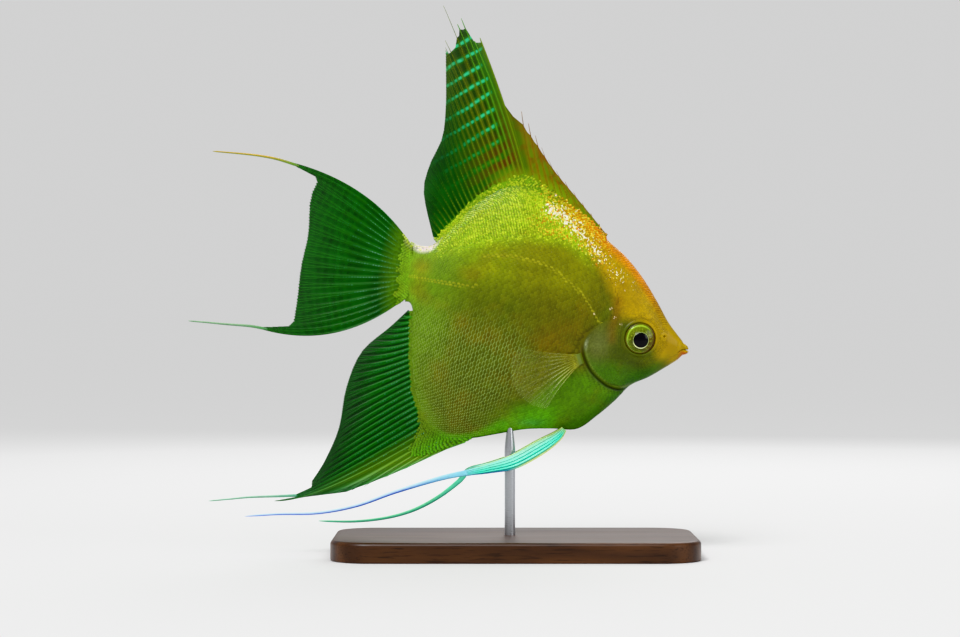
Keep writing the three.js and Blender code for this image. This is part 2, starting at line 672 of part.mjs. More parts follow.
const parted = bodySolid(...GRAIN)
  .add(lip(LIPS[0]))
  .add(lip(LIPS[1]))
  .subtract(thinCut(alongLine(GILL_OPENING, 22)))
  .subtract(thinCut(alongLine(STEM_FRONT, 10)))
  .subtract(thinCut(alongLine(MOUTH_LINE, 8), MOUTH_WIDTH))
  .subtract(thinCut(alongLine(JAW_REAR, 8)));
const [wholeTorso, wholeHead, tailStem, lowerJaw] = byVolume(parted);

const rodTop = bellyHeight() + ROD.sunkInBelly;
const rodHole = uprightRod(ROD.radius + GAP, ROD.foot, rodTop + GAP).applyMatrix4(intoFish);
const torso = largest(
  wholeTorso
    .subtract(seatCut(dorsalBase, dorsalInward))
    .subtract(seatCut(analBase, analInward))
    .subtract(bothSides(pelvicPocket))
    .subtract(bothSides((side) => pectoral(side, GAP)))
    .subtract(solidOf(rodHole)),
);

const coverBed = bodySolid(...GRAIN, COVER.floor);
const head = largest(
  wholeHead
    .subtract(bothSides((side) => coverPrism(side, GAP)).subtract(coverBed))
    .subtract(bothSides(nostril))
    .subtract(bothSides(eyeSocket)),
);
const coverStock = bodySolid(...GRAIN, COVER.proud).subtract(bodySolid(...GRAIN, COVER.underside));
const gillCover = (side) => largest(coverStock.intersect(coverPrism(side, 0)));

// ---- The model -------------------------------------------------------------------------------
const finish = (color, roughness, metalness = 0) =>
  new THREE.MeshStandardMaterial({ color, roughness, metalness });
const SKIN = finish(0xa89a1e, 0.42);
const NAPE = finish(0xd08a10, 0.4);
const FIN = finish(0x5f7d2a, 0.5);
const PELVIC_FIN = finish(0x86d6d8, 0.45);
const CLEAR_FIN = finish(0xb9b45a, 0.4);
const EYE_FINISH = finish(0x6d7a22, 0.15);
const WOOD = finish(0x4a3325, 0.55);
const STEEL = finish(0xb5b8ba, 0.3, 1);

function node(name, geometry, material) {
  const mesh = new THREE.Mesh(geometry, material);
  mesh.name = name;
  return mesh;
}

const model = new THREE.Group();
model.name = "angelfish_on_stand";
model.add(fish);
fish.add(
  node("head", geometryOf(head), NAPE),
  node("lower_jaw", geometryOf(lowerJaw), NAPE),
  node("torso", geometryOf(torso), SKIN),
  node("tail_stem", geometryOf(tailStem), SKIN),
  node("dorsal_fin", geometryOf(dorsal), FIN),
  node("anal_fin", geometryOf(anal), FIN),
  node("anal_streamer", geometryOf(analStreamer), FIN),
  node("tail_fin", geometryOf(tail), FIN),
  node("tail_streamer_upper", geometryOf(upperStreamer), FIN),
  node("tail_streamer_lower", geometryOf(lowerStreamer), FIN),
  node("pelvic_fin_right", geometryOf(pelvicRight.blade), PELVIC_FIN),
  node("pelvic_streamer_right", geometryOf(pelvicRight.streamer), PELVIC_FIN),
  node("pelvic_fin_left", geometryOf(pelvicLeft.blade), PELVIC_FIN),
  node("pelvic_streamer_left", geometryOf(pelvicLeft.streamer), PELVIC_FIN),
);
for (const [side, word] of [[1, "left"], [-1, "right"]]) {
  fish.add(
    node(`gill_cover_${word}`, geometryOf(gillCover(side)), SKIN),
    node(`eye_${word}`, geometryOf(eye(side)), EYE_FINISH),
    node(`pectoral_fin_${word}`, geometryOf(pectoral(side, 0)), CLEAR_FIN),
  );
}
model.add(
  node("stand_base", geometryOf(standBase()), WOOD),
  node("stand_rod", uprightRod(ROD.radius, ROD.foot + GAP, rodTop), STEEL),
);

export default model;
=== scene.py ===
import math

import bpy
import numpy as np
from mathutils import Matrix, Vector


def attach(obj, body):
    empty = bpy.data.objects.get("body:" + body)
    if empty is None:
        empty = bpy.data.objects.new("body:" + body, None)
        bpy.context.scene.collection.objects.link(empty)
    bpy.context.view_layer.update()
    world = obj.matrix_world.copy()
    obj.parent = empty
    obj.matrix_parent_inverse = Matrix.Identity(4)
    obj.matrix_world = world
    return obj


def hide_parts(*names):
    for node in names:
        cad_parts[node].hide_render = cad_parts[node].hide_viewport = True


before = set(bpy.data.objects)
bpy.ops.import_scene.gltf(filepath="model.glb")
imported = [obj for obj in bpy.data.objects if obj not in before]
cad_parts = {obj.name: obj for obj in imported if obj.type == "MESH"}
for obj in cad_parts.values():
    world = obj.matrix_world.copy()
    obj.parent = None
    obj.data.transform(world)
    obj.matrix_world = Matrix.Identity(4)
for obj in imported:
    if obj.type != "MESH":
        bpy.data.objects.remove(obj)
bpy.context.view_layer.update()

MM = 0.001

# ---- The studio -------------------------------------------------------------------------------
# A pale matt floor that runs out to the horizon, soft lamps above and to both sides, and the
# camera, which looks level at the fish's right side.
scene = bpy.context.scene
scene.view_settings.view_transform = "Khronos PBR Neutral"
camera = bpy.data.objects.new("camera", bpy.data.cameras.new("camera"))
camera.data.lens, camera.data.sensor_width = 100, 36
camera.data.clip_start, camera.data.clip_end = 0.01, 1000
camera.location = (-10.4 * MM, -793.6 * MM, 70.4 * MM)
camera.rotation_euler = (math.pi / 2, 0, 0)
scene.collection.objects.link(camera)
scene.camera = camera


def linear(code):
    """A colour written as #rrggbb, as the shader wants it."""
    values = [int(code[i:i + 2], 16) / 255 for i in (1, 3, 5)]
    return tuple(v / 12.92 if v < 0.04045 else ((v + 0.055) / 1.055) ** 2.4 for v in values) + (1,)


def node(tree, kind, inputs=(), **settings):
    """A shader node with its settings and its inputs: numbers, colours or other nodes' values."""
    made = tree.nodes.new("ShaderNode" + kind)
    for name, setting in settings.items():
        setattr(made, name, setting)
    for name, given in dict(inputs).items():
        if isinstance(given, Value):
            tree.links.new(given.socket, made.inputs[name])
        else:
            made.inputs[name].default_value = linear(given) if isinstance(given, str) else given
    return made


class Value:
    """What a shader node puts out, and the nodes that work on it."""

    def __init__(self, tree, socket):
        self.tree, self.socket = tree, socket

    def then(self, kind, output, inputs, **settings):
        return Value(self.tree, node(self.tree, kind, inputs, **settings).outputs[output])

    def math(self, operation, *others, clamp=False):
        return self.then("Math", 0, enumerate((self, *others)), operation=operation, use_clamp=clamp)

    def __mul__(self, other):
        return self.math("MULTIPLY", other)

    def __add__(self, other):
        return self.math("ADD", other)

    def __sub__(self, other):
        return self.math("SUBTRACT", other)

    def ranged(self, low, high, start=0.0, end=1.0):
        """start where the value is low or under, end where it is high or over."""
        return self.then("MapRange", "Result", {
            "Value": self, "From Min": low, "From Max": high, "To Min": start, "To Max": end})

    def mixed(self, amount, other, blend="MIX"):
        """This colour with another over it."""
        return self.then("Mix", 2, {0: amount, 6: self, 7: other}, data_type="RGBA", blend_type=blend)

    def shaded(self, other):
        return self.mixed(1.0, other, "MULTIPLY")

    def under(self, *layers):
        """This colour with paints over it, each given with its amount."""
        colour = self
        for amount, paint in layers:
            colour = colour.mixed(amount, paint)
        return colour

    def between(self, under, over):
        """One colour where this value is 0 and another where it is 1."""
        return self.then("Mix", 2, {0: self, 6: under, 7: over}, data_type="RGBA")


def value(tree, kind, output, inputs=(), **settings):
    return Value(tree, node(tree, kind, inputs, **settings).outputs[output])


def new_material(name, **sockets):
    """A material, its node tree and its Principled BSDF, with the plain sockets set."""
    material = bpy.data.materials.new(name)
    material.use_nodes = True
    surface = material.node_tree.nodes["Principled BSDF"]
    for socket, given in sockets.items():
        surface.inputs[socket.replace("_", " ")].default_value = given
    return material, material.node_tree, surface


def feed(shader, **sockets):
    """Links values to a shader's sockets."""
    for socket, given in sockets.items():
        given.tree.links.new(given.socket, shader.inputs[socket.replace("_", " ")])


def new_object(name, vertices, faces, material):
    """A smooth mesh object from arrays of places and of faces that all have as many corners."""
    vertices, faces = np.asarray(vertices, np.float32), np.asarray(faces, np.int32)
    mesh = bpy.data.meshes.new(name)
    mesh.vertices.add(len(vertices))
    mesh.vertices.foreach_set("co", vertices.ravel())
    mesh.loops.add(faces.size)
    mesh.loops.foreach_set("vertex_index", faces.ravel())
    mesh.polygons.add(len(faces))
    mesh.polygons.foreach_set("loop_start", np.arange(len(faces), dtype=np.int32) * faces.shape[1])
    mesh.polygons.foreach_set("use_smooth", np.ones(len(faces), bool))
    mesh.update(calc_edges=True)
    mesh.materials.append(material)
    made = bpy.data.objects.new(name, mesh)
    scene.collection.objects.link(made)
    return made


def lamp(name, kind, power, towards, place=(0, 0, 0), **sizes):
    """A lamp that shines along a direction."""
    made = bpy.data.objects.new(name, bpy.data.lights.new(name, kind))
    made.data.energy = power
    for setting, size in sizes.items():
        setattr(made.data, setting, size)
    made.location = place
    made.rotation_euler = towards.to_track_quat("-Z", "Y").to_euler()
    scene.collection.objects.link(made)


AMBIENT, FLOOR_TONE, FLOOR_REACH = 0.50, 0.74, 400
SUN_POWER, SUN_FROM, SUN_SOFTNESS = 1.75, Vector((-0.42, -0.72, 0.95)).normalized(), math.radians(24)
FISH_MIDDLE = Vector((-0.02, 0, 0.085))
world = bpy.data.worlds.new("studio")
world.use_nodes = True
scene.world = world
sky = world.node_tree.nodes["Background"]
sky.inputs["Color"].default_value = (1, 1, 1, 1)
horizon_tone = FLOOR_TONE * (AMBIENT + SUN_POWER * SUN_FROM.z / math.pi)
seen = value(world.node_tree, "LightPath", "Is Camera Ray")
feed(sky, Strength=seen.ranged(0, 1, AMBIENT, horizon_tone))

floor_material, tree, surface = new_material("floor", Roughness=0.9, Specular_IOR_Level=0.0)
floor_cloud = value(tree, "TexNoise", "Fac", {"Scale": 6.0, "Detail": 3.0})
feed(surface, Base_Color=floor_cloud.ranged(0, 1, FLOOR_TONE * 0.99, FLOOR_TONE * 1.01))
corners = [(x * FLOOR_REACH, y * FLOOR_REACH, 0) for x, y in [(-1, -1), (1, -1), (1, 1), (-1, 1)]]
floor = new_object("floor", corners, [(0, 1, 2, 3)], floor_material)

lamp("sun", "SUN", SUN_POWER, -SUN_FROM, angle=SUN_SOFTNESS)
for number, (place, width, power) in enumerate([
    ((-0.10, -0.45, 0.62), 0.40, 1.6), ((0.55, -0.40, 0.25), 0.30, 0.8), ((0.10, 0.50, 0.45), 0.40, 1.6),
]):
    lamp(f"lamp_{number}", "AREA", power, FISH_MIDDLE - Vector(place), place, size=width)

# ---- The body's shape -------------------------------------------------------------------------
# The fish is a tall, thin body. Sizes along it are in hundredths of its standard length: a runs
# back from the snout and h up from its axis. Stations join the back's outline to the belly's.
STANDARD_LENGTH = 86 * MM
UNIT = STANDARD_LENGTH / 100
HEAD_DOWN = math.radians(15.9)
SNOUT = np.array([51.5, 0, 61]) * MM
COAT = 0.2 * MM  # how far the scales stand over the skin
STATIONS = np.array([
    # back, belly, half width, pinch of the edges
    (0.5, 0.9, -0.3, -0.9, 1.2, 0.9),
    (2.5, 2.5, 1.0, -2.9, 2.2, 0.9),
    (5.1, 4.4, 3.2, -5.2, 3.1, 0.9),
    (9.4, 7.8, 6.8, -9.1, 4.3, 0.9),
    (14.8, 13.3, 10.7, -13.1, 5.5, 0.95),
    (21.4, 19.4, 15.9, -17.5, 6.5, 1.0),
    (29.1, 25.0, 19.5, -23.9, 7.2, 1.05),
    (37.7, 29.3, 24.0, -30.6, 7.6, 1.15),
    (46.7, 33.9, 29.4, -36.9, 7.7, 1.25),
    (56.8, 37.8, 37.8, -39.2, 7.5, 1.3),
    (67.4, 39.8, 46.7, -42.0, 7.0, 1.35),
    (73.4, 39.0, 55.5, -46.2, 6.4, 1.35),
    (78.6, 35.9, 64.1, -50.2, 5.8, 1.35),
    (83.0, 31.4, 72.5, -52.3, 5.1, 1.3),
    (86.4, 26.7, 80.2, -48.7, 4.5, 1.25),
    (89.2, 21.6, 86.3, -40.7, 3.9, 1.2),
    (91.6, 17.1, 90.7, -30.1, 3.4, 1.1),
    (93.3, 13.2, 93.6, -20.1, 3.0, 1.0),
    (95.4, 10.6, 95.3, -13.0, 2.7, 0.95),
    (99.1, 9.5, 97.0, -10.7, 2.2, 0.9),
    (102.5, 10.1, 98.7, -10.8, 1.5, 0.85),
])


def turned(x, y, angle):
    """Places in a plane turned about its origin."""
    c, s = np.cos(angle), np.sin(angle)
    return c * x - s * y, s * x + c * y


def in_row(points):
    """Points of the fish's own frame (forward, left, up) in the row's frame."""
    x, y, z = np.moveaxis(np.asarray(points, float), -1, 0)
    x, z = turned(x, z, -HEAD_DOWN)
    return SNOUT + np.stack([x, y, z], -1)


def spline(points):
    """A smooth line through the points, as a function of its share from 0 to 1."""
    p = np.array(points, float)
    padded = np.vstack([p[:1], p, p[-1:]])

    def at(share):
        s = np.clip(np.asarray(share, float), 0, 1) * (len(p) - 1)
        k = np.minimum(s.astype(int), len(p) - 2)
        w = (s - k)[..., None]
        before, start, end, after = (padded[k + i] for i in range(4))
        v0, v1 = (end - before) / 2, (after - start) / 2
        return (((2 * (start - end) + v0 + v1) * w + 3 * (end - start) - 2 * v0 - v1) * w + v0) * w + start
    return at


def plane(points):
    """Places in hundredths of the standard length as metres forward and up."""
    return np.asarray(points, float) * (-UNIT, UNIT)


def smooth(x, low, high):
    """0 below low, 1 above high and a smooth step between. low may be the higher one."""
    s = np.clip((np.asarray(x, float) - low) / (high - low), 0, 1)
    return s * s * (3 - 2 * s)


def bump(x, width):
    """A soft hump, 1 at 0."""
    return np.exp(-(np.asarray(x, float) / width) ** 2)


BACK = spline(plane(STATIONS[:, :2]))
BELLY = spline(plane(STATIONS[:, 2:4]))
SECTION = spline(STATIONS[:, 4:])


def body_width(t, share):
    """Half the skin's width at a share of the way from belly to back."""
    half, pinch = np.moveaxis(SECTION(t), -1, 0)
    side = np.sqrt(np.clip(1 - (2 * share - 1) ** 2, 0, 1))
    return np.maximum(half * UNIT * side ** pinch - COAT * side, 0)


def from_line(p, line):
    """Signed distance of places from a line of points, over 0 on its left, and the share along."""
    line = np.asarray(line, float)
    best, sign, along = np.full(len(p), np.inf), np.ones(len(p)), np.zeros(len(p))
    for k, (start, end) in enumerate(zip(line[:-1], line[1:])):
        step = end - start
        s = np.clip(((p - start) @ step) / (step @ step), 0, 1)
        off = p - start - s[:, None] * step
        distance = np.hypot(off[:, 0], off[:, 1])
        nearer = distance < best
        best = np.where(nearer, distance, best)
        left = step[0] * off[:, 1] - step[1] * off[:, 0]
        sign = np.where(nearer, np.where(left >= 0, 1.0, -1.0), sign)
        along = np.where(nearer, (k + s) / (len(line) - 1), along)
    return best * sign, along


# The face: the eye's socket with its fold of skin, the gill cover with its free edge and the
# crease behind it, the ridge before it, the root of the pectoral fin, and the nostril.
EYE_AT, NOSTRIL_AT = np.array([17.4, -0.7]), np.array([9.4, 2.2])
PECTORAL_AT, PELVIC_AT = np.array([35.9, -13.4]), np.array([34.5, -36.8])
GILL_EDGE = spline([
    (25.5, 3.6), (29.5, 2.4), (33.4, -1.6), (35.4, -6.3), (34.6, -10.5), (31.0, -15.3), (27.2, -17.8),
    (23.0, -19.3), (18.6, -18.9), (14.2, -15.9),
])(np.linspace(0, 1, 40))
CHEEK_RIDGE = spline([(25.0, 3.0), (27.0, -2.5), (26.4, -8.0), (23.0, -13.0), (16.5, -14.6)])(
    np.linspace(0, 1, 20))
JAW_LINE = spline([(3.3, -2.6), (5.6, -5.2), (7.8, -8.2), (9.4, -11.8)])(np.linspace(0, 1, 12))


def mm_between(spot, centre):
    """Millimetres from a place, both in hundredths of the length."""
    return np.linalg.norm((spot - centre) * UNIT / MM, axis=1)


def mm_from_line(spot, line):
    gap, along = from_line(spot, line)
    return gap * UNIT / MM, along


def relief(p):
    """How far the skin stands out of the plain body at places in the side, in metres."""
    spot = p / (-UNIT, UNIT)
    eye, nostril = mm_between(spot, EYE_AT), mm_between(spot, NOSTRIL_AT)
    (gap, along), (ridge, on_ridge), (jaw, on_jaw) = (
        mm_from_line(spot, line) for line in (GILL_EDGE, CHEEK_RIDGE, JAW_LINE))
    lobe, pelvic = ((spot - centre) * UNIT / MM for centre in (PECTORAL_AT + (0.2, 0.4), PELVIC_AT))
    ends = smooth(along, 0.26, 0.56) * smooth(along, 1.0, 0.86)
    return MM * (
        -2.6 * smooth(eye, 4.72, 4.25)  # the socket
        + 0.26 * bump(eye - 5.0, 0.42) - 0.10 * bump(eye - 5.75, 0.35)  # the fold of skin round it
        + 0.26 * smooth(gap, 0.12, -0.22) * smooth(gap, -7.5, -1.0) * ends  # the gill cover
        - 0.62 * bump(gap - 0.42, 0.34) * ends * smooth(along, 0.15, 0.45)  # the crease behind it
        - 0.18 * smooth(gap, 0.0, 0.5) * smooth(gap, 3.5, 0.8) * ends
        + (0.10 * smooth(ridge, 0.25, -0.25) * smooth(ridge, -3.0, -0.5) - 0.09 * bump(ridge - 0.3, 0.28))
        * smooth(on_ridge, 0, 0.2) * smooth(on_ridge, 1, 0.8)
        - 0.16 * bump(jaw, 0.3) * smooth(on_jaw, 1, 0.3)  # the corner of the mouth
        - 0.6 * smooth(nostril, 0.42, 0.12) + 0.12 * bump(nostril - 0.55, 0.18)
        + 0.62 * bump(lobe[:, 0], 1.9) * bump(lobe[:, 1], 2.1) * smooth(gap, 0.3, 1.4)  # the fins' roots
        + 0.35 * bump(pelvic[:, 0], 2.0) * bump(pelvic[:, 1], 1.6))


def off_edges(share):
    """1 over the side, 0 at the body's very edges, where the relief dies out."""
    return smooth(share, 0, 0.06) * smooth(share, 1, 0.94)


# ---- Colours of skin and scales ---------------------------------------------------------------
# The gold form's skin: an olive yellow flank, gold from the snout over the nape, a green breast
# and cheek, a bright sheath of small scales along the back and a band of glittering specks. Each
# marking is a soft mask worked out from the place on the body, the same for skin and scales.
GOLD_EDGE = [(4.5, -7.0), (9.3, -7.4), (10.9, -4.0), (14.0, 0.0), (18.6, 4.8), (25.0, 4.4), (29.7, 9.6),
             (33.6, 14.5), (39.0, 20.6), (48.0, 28.0), (60.0, 36.0)]
SHEATH_EDGE = [(31.5, -2.0), (28.5, 2.5), (27.4, 10.2), (32.1, 15.9), (38.6, 19.2), (43.5, 22.0),
               (50.3, 24.5), (58.7, 23.8), (69.9, 20.6), (79.2, 16.0), (90.4, 9.4), (99.0, 8.5)]
GLITTER_LINE = [(62.0, 34.6), (54.8, 32.6), (48.5, 29.5), (42.5, 25.6), (36.5, 21.5), (31.4, 18.3),
                (25.4, 15.2)]
BREAST_EDGE = [(23.0, -19.6), (31.5, -16.8), (38.0, -18.0), (42.5, -24.0), (48.0, -31.5), (62.0, -38.5)]
CHEEK_EDGE = [(4.0, -5.8), (10.0, -8.0), (16.0, -7.6), (21.0, -6.0), (25.0, -2.8), (29.0, -2.4),
              (33.0, -3.6), (38.0, -5.0)]
BRONZE_LINE = [(28.4, 9.5), (27.4, 4.5), (27.9, 0.0), (27.2, -3.5)]
LATERAL_LINES = [
    [(31.5, 0.8), (34.3, 2.9), (37.2, 6.7), (41.5, 9.4), (44.9, 11.0), (49.9, 13.5), (53.8, 14.6),
     (59.3, 15.2), (64.7, 14.9), (71.5, 13.5), (76.4, 11.8)],
    [(75.2, 1.3), (80.3, 0.2), (85.5, -0.5), (92.5, -1.1), (99.5, -1.7)],
]
SPARKLES = [(33.7, 3.1), (24.7, 1.8), (40.4, 12.9), (29.0, 6.2), (31.2, 4.9), (27.2, 3.4)]


def lerp(a, b, s):
    return a + (b - a) * s


def from_sheath(spot):
    """How far inside the sheath along the back a place is, in hundredths of the length."""
    return np.minimum(from_line(spot, SHEATH_EDGE)[0], spot[:, 1] + 3.0)


def markings(p, t, share):
    """Every marking's strength at places in the side, by name."""
    spot = p / (-UNIT, UNIT)
    a, h = spot.T
    height = np.linalg.norm(BACK(t) - BELLY(t), axis=1) / UNIT
    below_back, above_belly = (1 - share) * height, share * height
    gold, breast, cheek, bronze = (
        from_line(spot, line)[0] for line in (GOLD_EDGE, BREAST_EDGE, CHEEK_EDGE, BRONZE_LINE))
    sheath = from_sheath(spot)
    glitter, on_glitter = from_line(spot, GLITTER_LINE)
    cover, on_cover = from_line(spot, GILL_EDGE)
    lateral = np.min([np.abs(from_line(spot, line)[0]) for line in LATERAL_LINES], 0)
    spark = np.min([np.hypot(*(spot - s).T) for s in SPARKLES], 0)
    on_head = 1 - smooth(cover, -0.2, 0.3)
    on_sheath = smooth(sheath, -4.5, 3.0) * smooth(a, 36, 46)
    rows = bump(below_back - 7.5, 0.7) + bump(below_back - 12.5, 0.8)
    return {
        "upper": smooth(h, -4.0, 15.0) * smooth(a, 30, 45),
        "upper_rear": smooth(h, -4.0, 12.0) * smooth(a, 58, 80),
        "front": smooth(a, 66, 48) * smooth(a, 30, 36),
        "lower_rear": smooth(a, 42, 66) * smooth(h, -4, -22),
        "rear": smooth(a, 74, 92) * smooth(h, -60, -10),
        # dashes: where the scales' painted rear-edge highlights are strongest and their painted overlap
        # shade is darkest.
        "dashes": smooth(a, 46, 62) * smooth(h, -2, -18) + 0.45 * smooth(a, 80, 92) * smooth(h, -6, 6),
        "sheath": on_sheath,
        "sheath_rows": on_sheath * rows * smooth(a, 52, 64) * smooth(a, 92, 84),
        # stem: a painted highlight, near white along the top edge of the tail stem.
        "stem": smooth(below_back, 3.2, 0.8) * smooth(a, 91.5, 94.5) * smooth(a, 104, 98),
        "gold": smooth(gold, -2.6, 2.6),
        "nape": smooth(below_back, 5.5, 1.2) * smooth(a, 58, 44) * smooth(a, 8, 22),
        "bronze": bump(bronze, 1.9),
        "glitter": bump(glitter + 0.3, 2.5) * smooth(on_glitter, 0.0, 0.08)
        * lerp(1.0, 0.12, on_glitter ** 0.8),
        "speckle": smooth(sheath, -1.0, 1.5) * smooth(a, 30, 40) * smooth(a, 70, 56),
        "breast": smooth(breast, 3.2, -3.2) * smooth(above_belly, 34, 20) * smooth(a, 64, 50),
        "cheek": smooth(cheek, 2.6, -2.6) * smooth(a, 2, 9) * on_head,
        "cheek_low": smooth(h, -8.5, -15.0) * smooth(a, 9, 15) * on_head,
        "jaw": bump(h + 8.5 - 0.25 * (a - 12), 3.4) * smooth(a, 2, 7) * smooth(a, 17, 10),
        "throat": smooth(above_belly, 6.5, 1.5) * smooth(a, 4, 12) * smooth(a, 40, 30),
        "belly": smooth(above_belly / lerp(11, 2.6, smooth(a, 44, 68)), 1.0, 0.3) * smooth(a, 34, 42)
        * smooth(a, 82, 74),
        "opercle": bump(a - 31.0, 4.4) * bump(h + 6.2, 6.6) * on_head,
        "rear_edge": smooth(above_belly, 9.0, 1.0) * smooth(a, 71, 79) * smooth(a, 99, 94),
        "tail_end": smooth(a, 92.5, 98.0) * smooth(below_back, 1.0, 4.0),
        "back_edge": smooth(below_back, 4.5, 0.5) * smooth(a, 52, 60) * smooth(a, 92, 84),
        "rust": 0.7 * bump(a - 96.8, 3.2) * bump(h - 2.4, 3.6) + 0.4 * bump(a - 96, 3) * bump(h + 6, 3),
        "lateral": smooth(lateral, 0.85, 0.35),
        "sparkle": smooth(spark, 0.62, 0.25),
        "lips": smooth(a, 3.6, 1.4) * smooth(h, -0.5, -1.3),
        "streak": bump(h + 39.0 + 0.28 * (a - 45.0), 1.3) * bump(a - 45.5, 5.0),
        # cover_rim: a painted highlight, a pale line just inside the lower part of the gill cover's free
        # edge.
        "cover_rim": bump(cover + 0.45, 0.4) * smooth(on_cover, 0.40, 0.48) * smooth(on_cover, 1.0, 0.9),
        "cover_glint": bump(cover + 0.6, 0.5) * bump(on_cover - 0.37, 0.05),
        # crease: painted shade in the crease behind the lower part of the gill cover's free edge.
        "crease": bump(cover - 0.45, 0.55) * smooth(on_cover, 0.3, 0.5) * smooth(on_cover, 1.0, 0.86),
    }


def write(made, values):
    """Stores each array of values as a float attribute of the object's points."""
    for name, numbers in values.items():
        layer = made.data.attributes.new(name, "FLOAT", "POINT")
        layer.data.foreach_set("value", np.asarray(numbers, np.float32))


# Each paint is mixed over the ones before it, as far as its marking says.
FLANK = "#485e05"
PAINTS = [
    ("front", "#505603", 0.85),
    ("upper", "#6a7a04", 0.95),
    ("upper_rear", "#709606", 0.8),
    ("lower_rear", "#43580c", 0.85),
    ("rear", "#56881a", 0.9),
    ("breast", "#427c06", 0.95),
    ("sheath", "#80b61a", 0.92),
    ("sheath_rows", "#a4d030", 0.5),
    ("gold", "#948a02", 0.97),
    ("nape", "#be8404", 0.92),
    ("cheek", "#354a03", 0.94),
    ("cheek_low", "#346c02", 0.88),
    ("jaw", "#5a6c02", 0.6),
    ("bronze", "#6c5206", 0.6),
    ("opercle", "#5c703a", 0.9),
    ("throat", "#2a6a03", 0.85),
    ("belly", "#4aa612", 0.85),
    ("rear_edge", "#588a1a", 0.8),
    ("tail_end", "#62a41e", 0.85),
    ("back_edge", "#4c8a0a", 0.85),
    ("rust", "#8c5c08", 0.55),
    ("streak", "#4fa84c", 0.7),
    # painted highlight along the top of the tail stem
    ("stem", "#e2ecee", 0.95),
    # painted shade: near black in the crease behind the gill cover
    ("crease", "#0e1402", 0.85),
    # painted highlight along the gill cover's free edge
    ("cover_rim", "#6c8a3c", 0.6),
    ("cover_glint", "#98b488", 0.6),
    ("lips", "#a03c14", 0.7),
]


def strength(tree, name):
    """What the mesh's points say: a marking's strength or a measure."""
    return value(tree, "Attribute", "Fac", attribute_name=name)


def noise(tree, scale, detail, output="Fac"):
    """A noise that stays put on the object."""
    place = value(tree, "TexCoord", "Object")
    return place.then("TexNoise", output, {"Vector": place, "Scale": scale, "Detail": detail})


# The markings' colours under a soft mottle, then specks: white, red and yellow ones in the
# glittering band, paler and redder ones in the sheath. Specks is a fine noise of three channels,
# and each channel, spread over 0 to 1, sets where one kind of speck lies.
colours = bpy.data.node_groups.new("angelfish colours", "ShaderNodeTree")
colours.interface.new_socket("Specks", in_out="INPUT", socket_type="NodeSocketColor")
colours.interface.new_socket("Color", in_out="OUTPUT", socket_type="NodeSocketColor")
colour = FLANK
for marking, paint, amount in PAINTS:
    colour = (strength(colours, marking) * amount).between(colour, paint)
colour = colour.shaded(noise(colours, 230.0, 5.0).ranged(0.3, 0.7, 0.87, 1.13))
colour = colour.mixed(noise(colours, 90.0, 3.0).ranged(0.52, 0.72, 0.0, 0.28), "#745802")
given = Value(colours, colours.nodes.new("NodeGroupInput").outputs["Specks"])
split = node(colours, "SeparateColor", {"Color": given})
grains = {channel: Value(colours, split.outputs[channel]).ranged(0.30, 0.70)
          for channel in ("Red", "Green", "Blue")}
SPECKS = [
    # marking, channel, share of the grains at full strength, paint, how far it covers
    ("sheath", "Blue", 0.52, "#b4d838", 0.55),
    ("sheath", "Green", 0.40, "#5c8c10", 0.45),
    ("speckle", "Green", 0.30, "#b07c10", 0.8),
    ("speckle", "Red", 0.40, "#d0d440", 0.7),
    ("glitter", "Blue", 0.86, grains["Red"].between("#b8d45c", "#e4faf0"), 1.0),
    ("glitter", "Green", 0.32, "#c4701c", 0.8),
    ("glitter", "Red", 0.36, "#dcd848", 0.8),
]
SPECK_SHARPNESS = 7.0
for marking, channel, amount, paint, cover in SPECKS:
    over = strength(colours, marking) * amount - grains[channel]
    colour = colour.mixed(over.math("MULTIPLY", SPECK_SHARPNESS, clamp=True) * cover, paint)
colour = colour.under((strength(colours, "lateral") * 0.6, "#a0b030"),
                      (strength(colours, "sparkle") * 0.7, "#eef2c4"))
feed(colours.nodes.new("NodeGroupOutput"), Color=colour.shaded((1.26, 0.97, 1.0, 1.0)))

# ---- The skin ---------------------------------------------------------------------------------
# One wet, smooth skin from the lips to the end of the tail stem, made as a loft over the stations
# and then worked: sockets, gill covers, lips and the line of the mouth.
RING = 344  # points round the body
HEAD_STEP, BODY_STEP = 0.21 * MM, 0.46 * MM
HEAD_END = 38.0  # where the finer steps end, in hundredths of the length
CAP, BULGE = 10, 0.25 * MM  # rings that close each end, and how far they bulge
LIPS = [
    # centre, half sizes along, up and out, and how far the front end is turned up
    ((1.65, 0.85), (1.75, 0.86, 1.75), -22),
    ((1.25, -1.15), (1.65, 0.84, 1.65), 26),
]
MOUTH_CENTRE = np.array([-7.0, 0, -0.6]) * UNIT
MOUTH_LINE = [(-2.0, 0.3), (0.0, -0.1), (1.4, -0.35), (2.6, -1.2), (3.5, -2.3)]
LIP_FOLD = [(3.2, 3.2), (3.7, 1.9), (3.9, 0.4), (3.9, -1.0)]


def length_of(v):
    """The vectors' lengths, ready to divide them by."""
    return np.linalg.norm(v, axis=-1)[..., None]


def graded_stations():
    """Shares of the way along the body, closer together on the head."""
    fine = np.linspace(0, 1, 4001)
    middle = (BACK(fine) + BELLY(fine)) / 2
    reach = np.linalg.norm(np.diff(middle, axis=0), axis=1)
    step = lerp(HEAD_STEP, BODY_STEP, smooth(-middle[:-1, 0] / UNIT, HEAD_END - 4, HEAD_END + 8))
    count = np.concatenate([[0], np.cumsum(reach / step)])
    return np.interp(np.linspace(0, count[-1], int(count[-1]) + 1), count, fine)


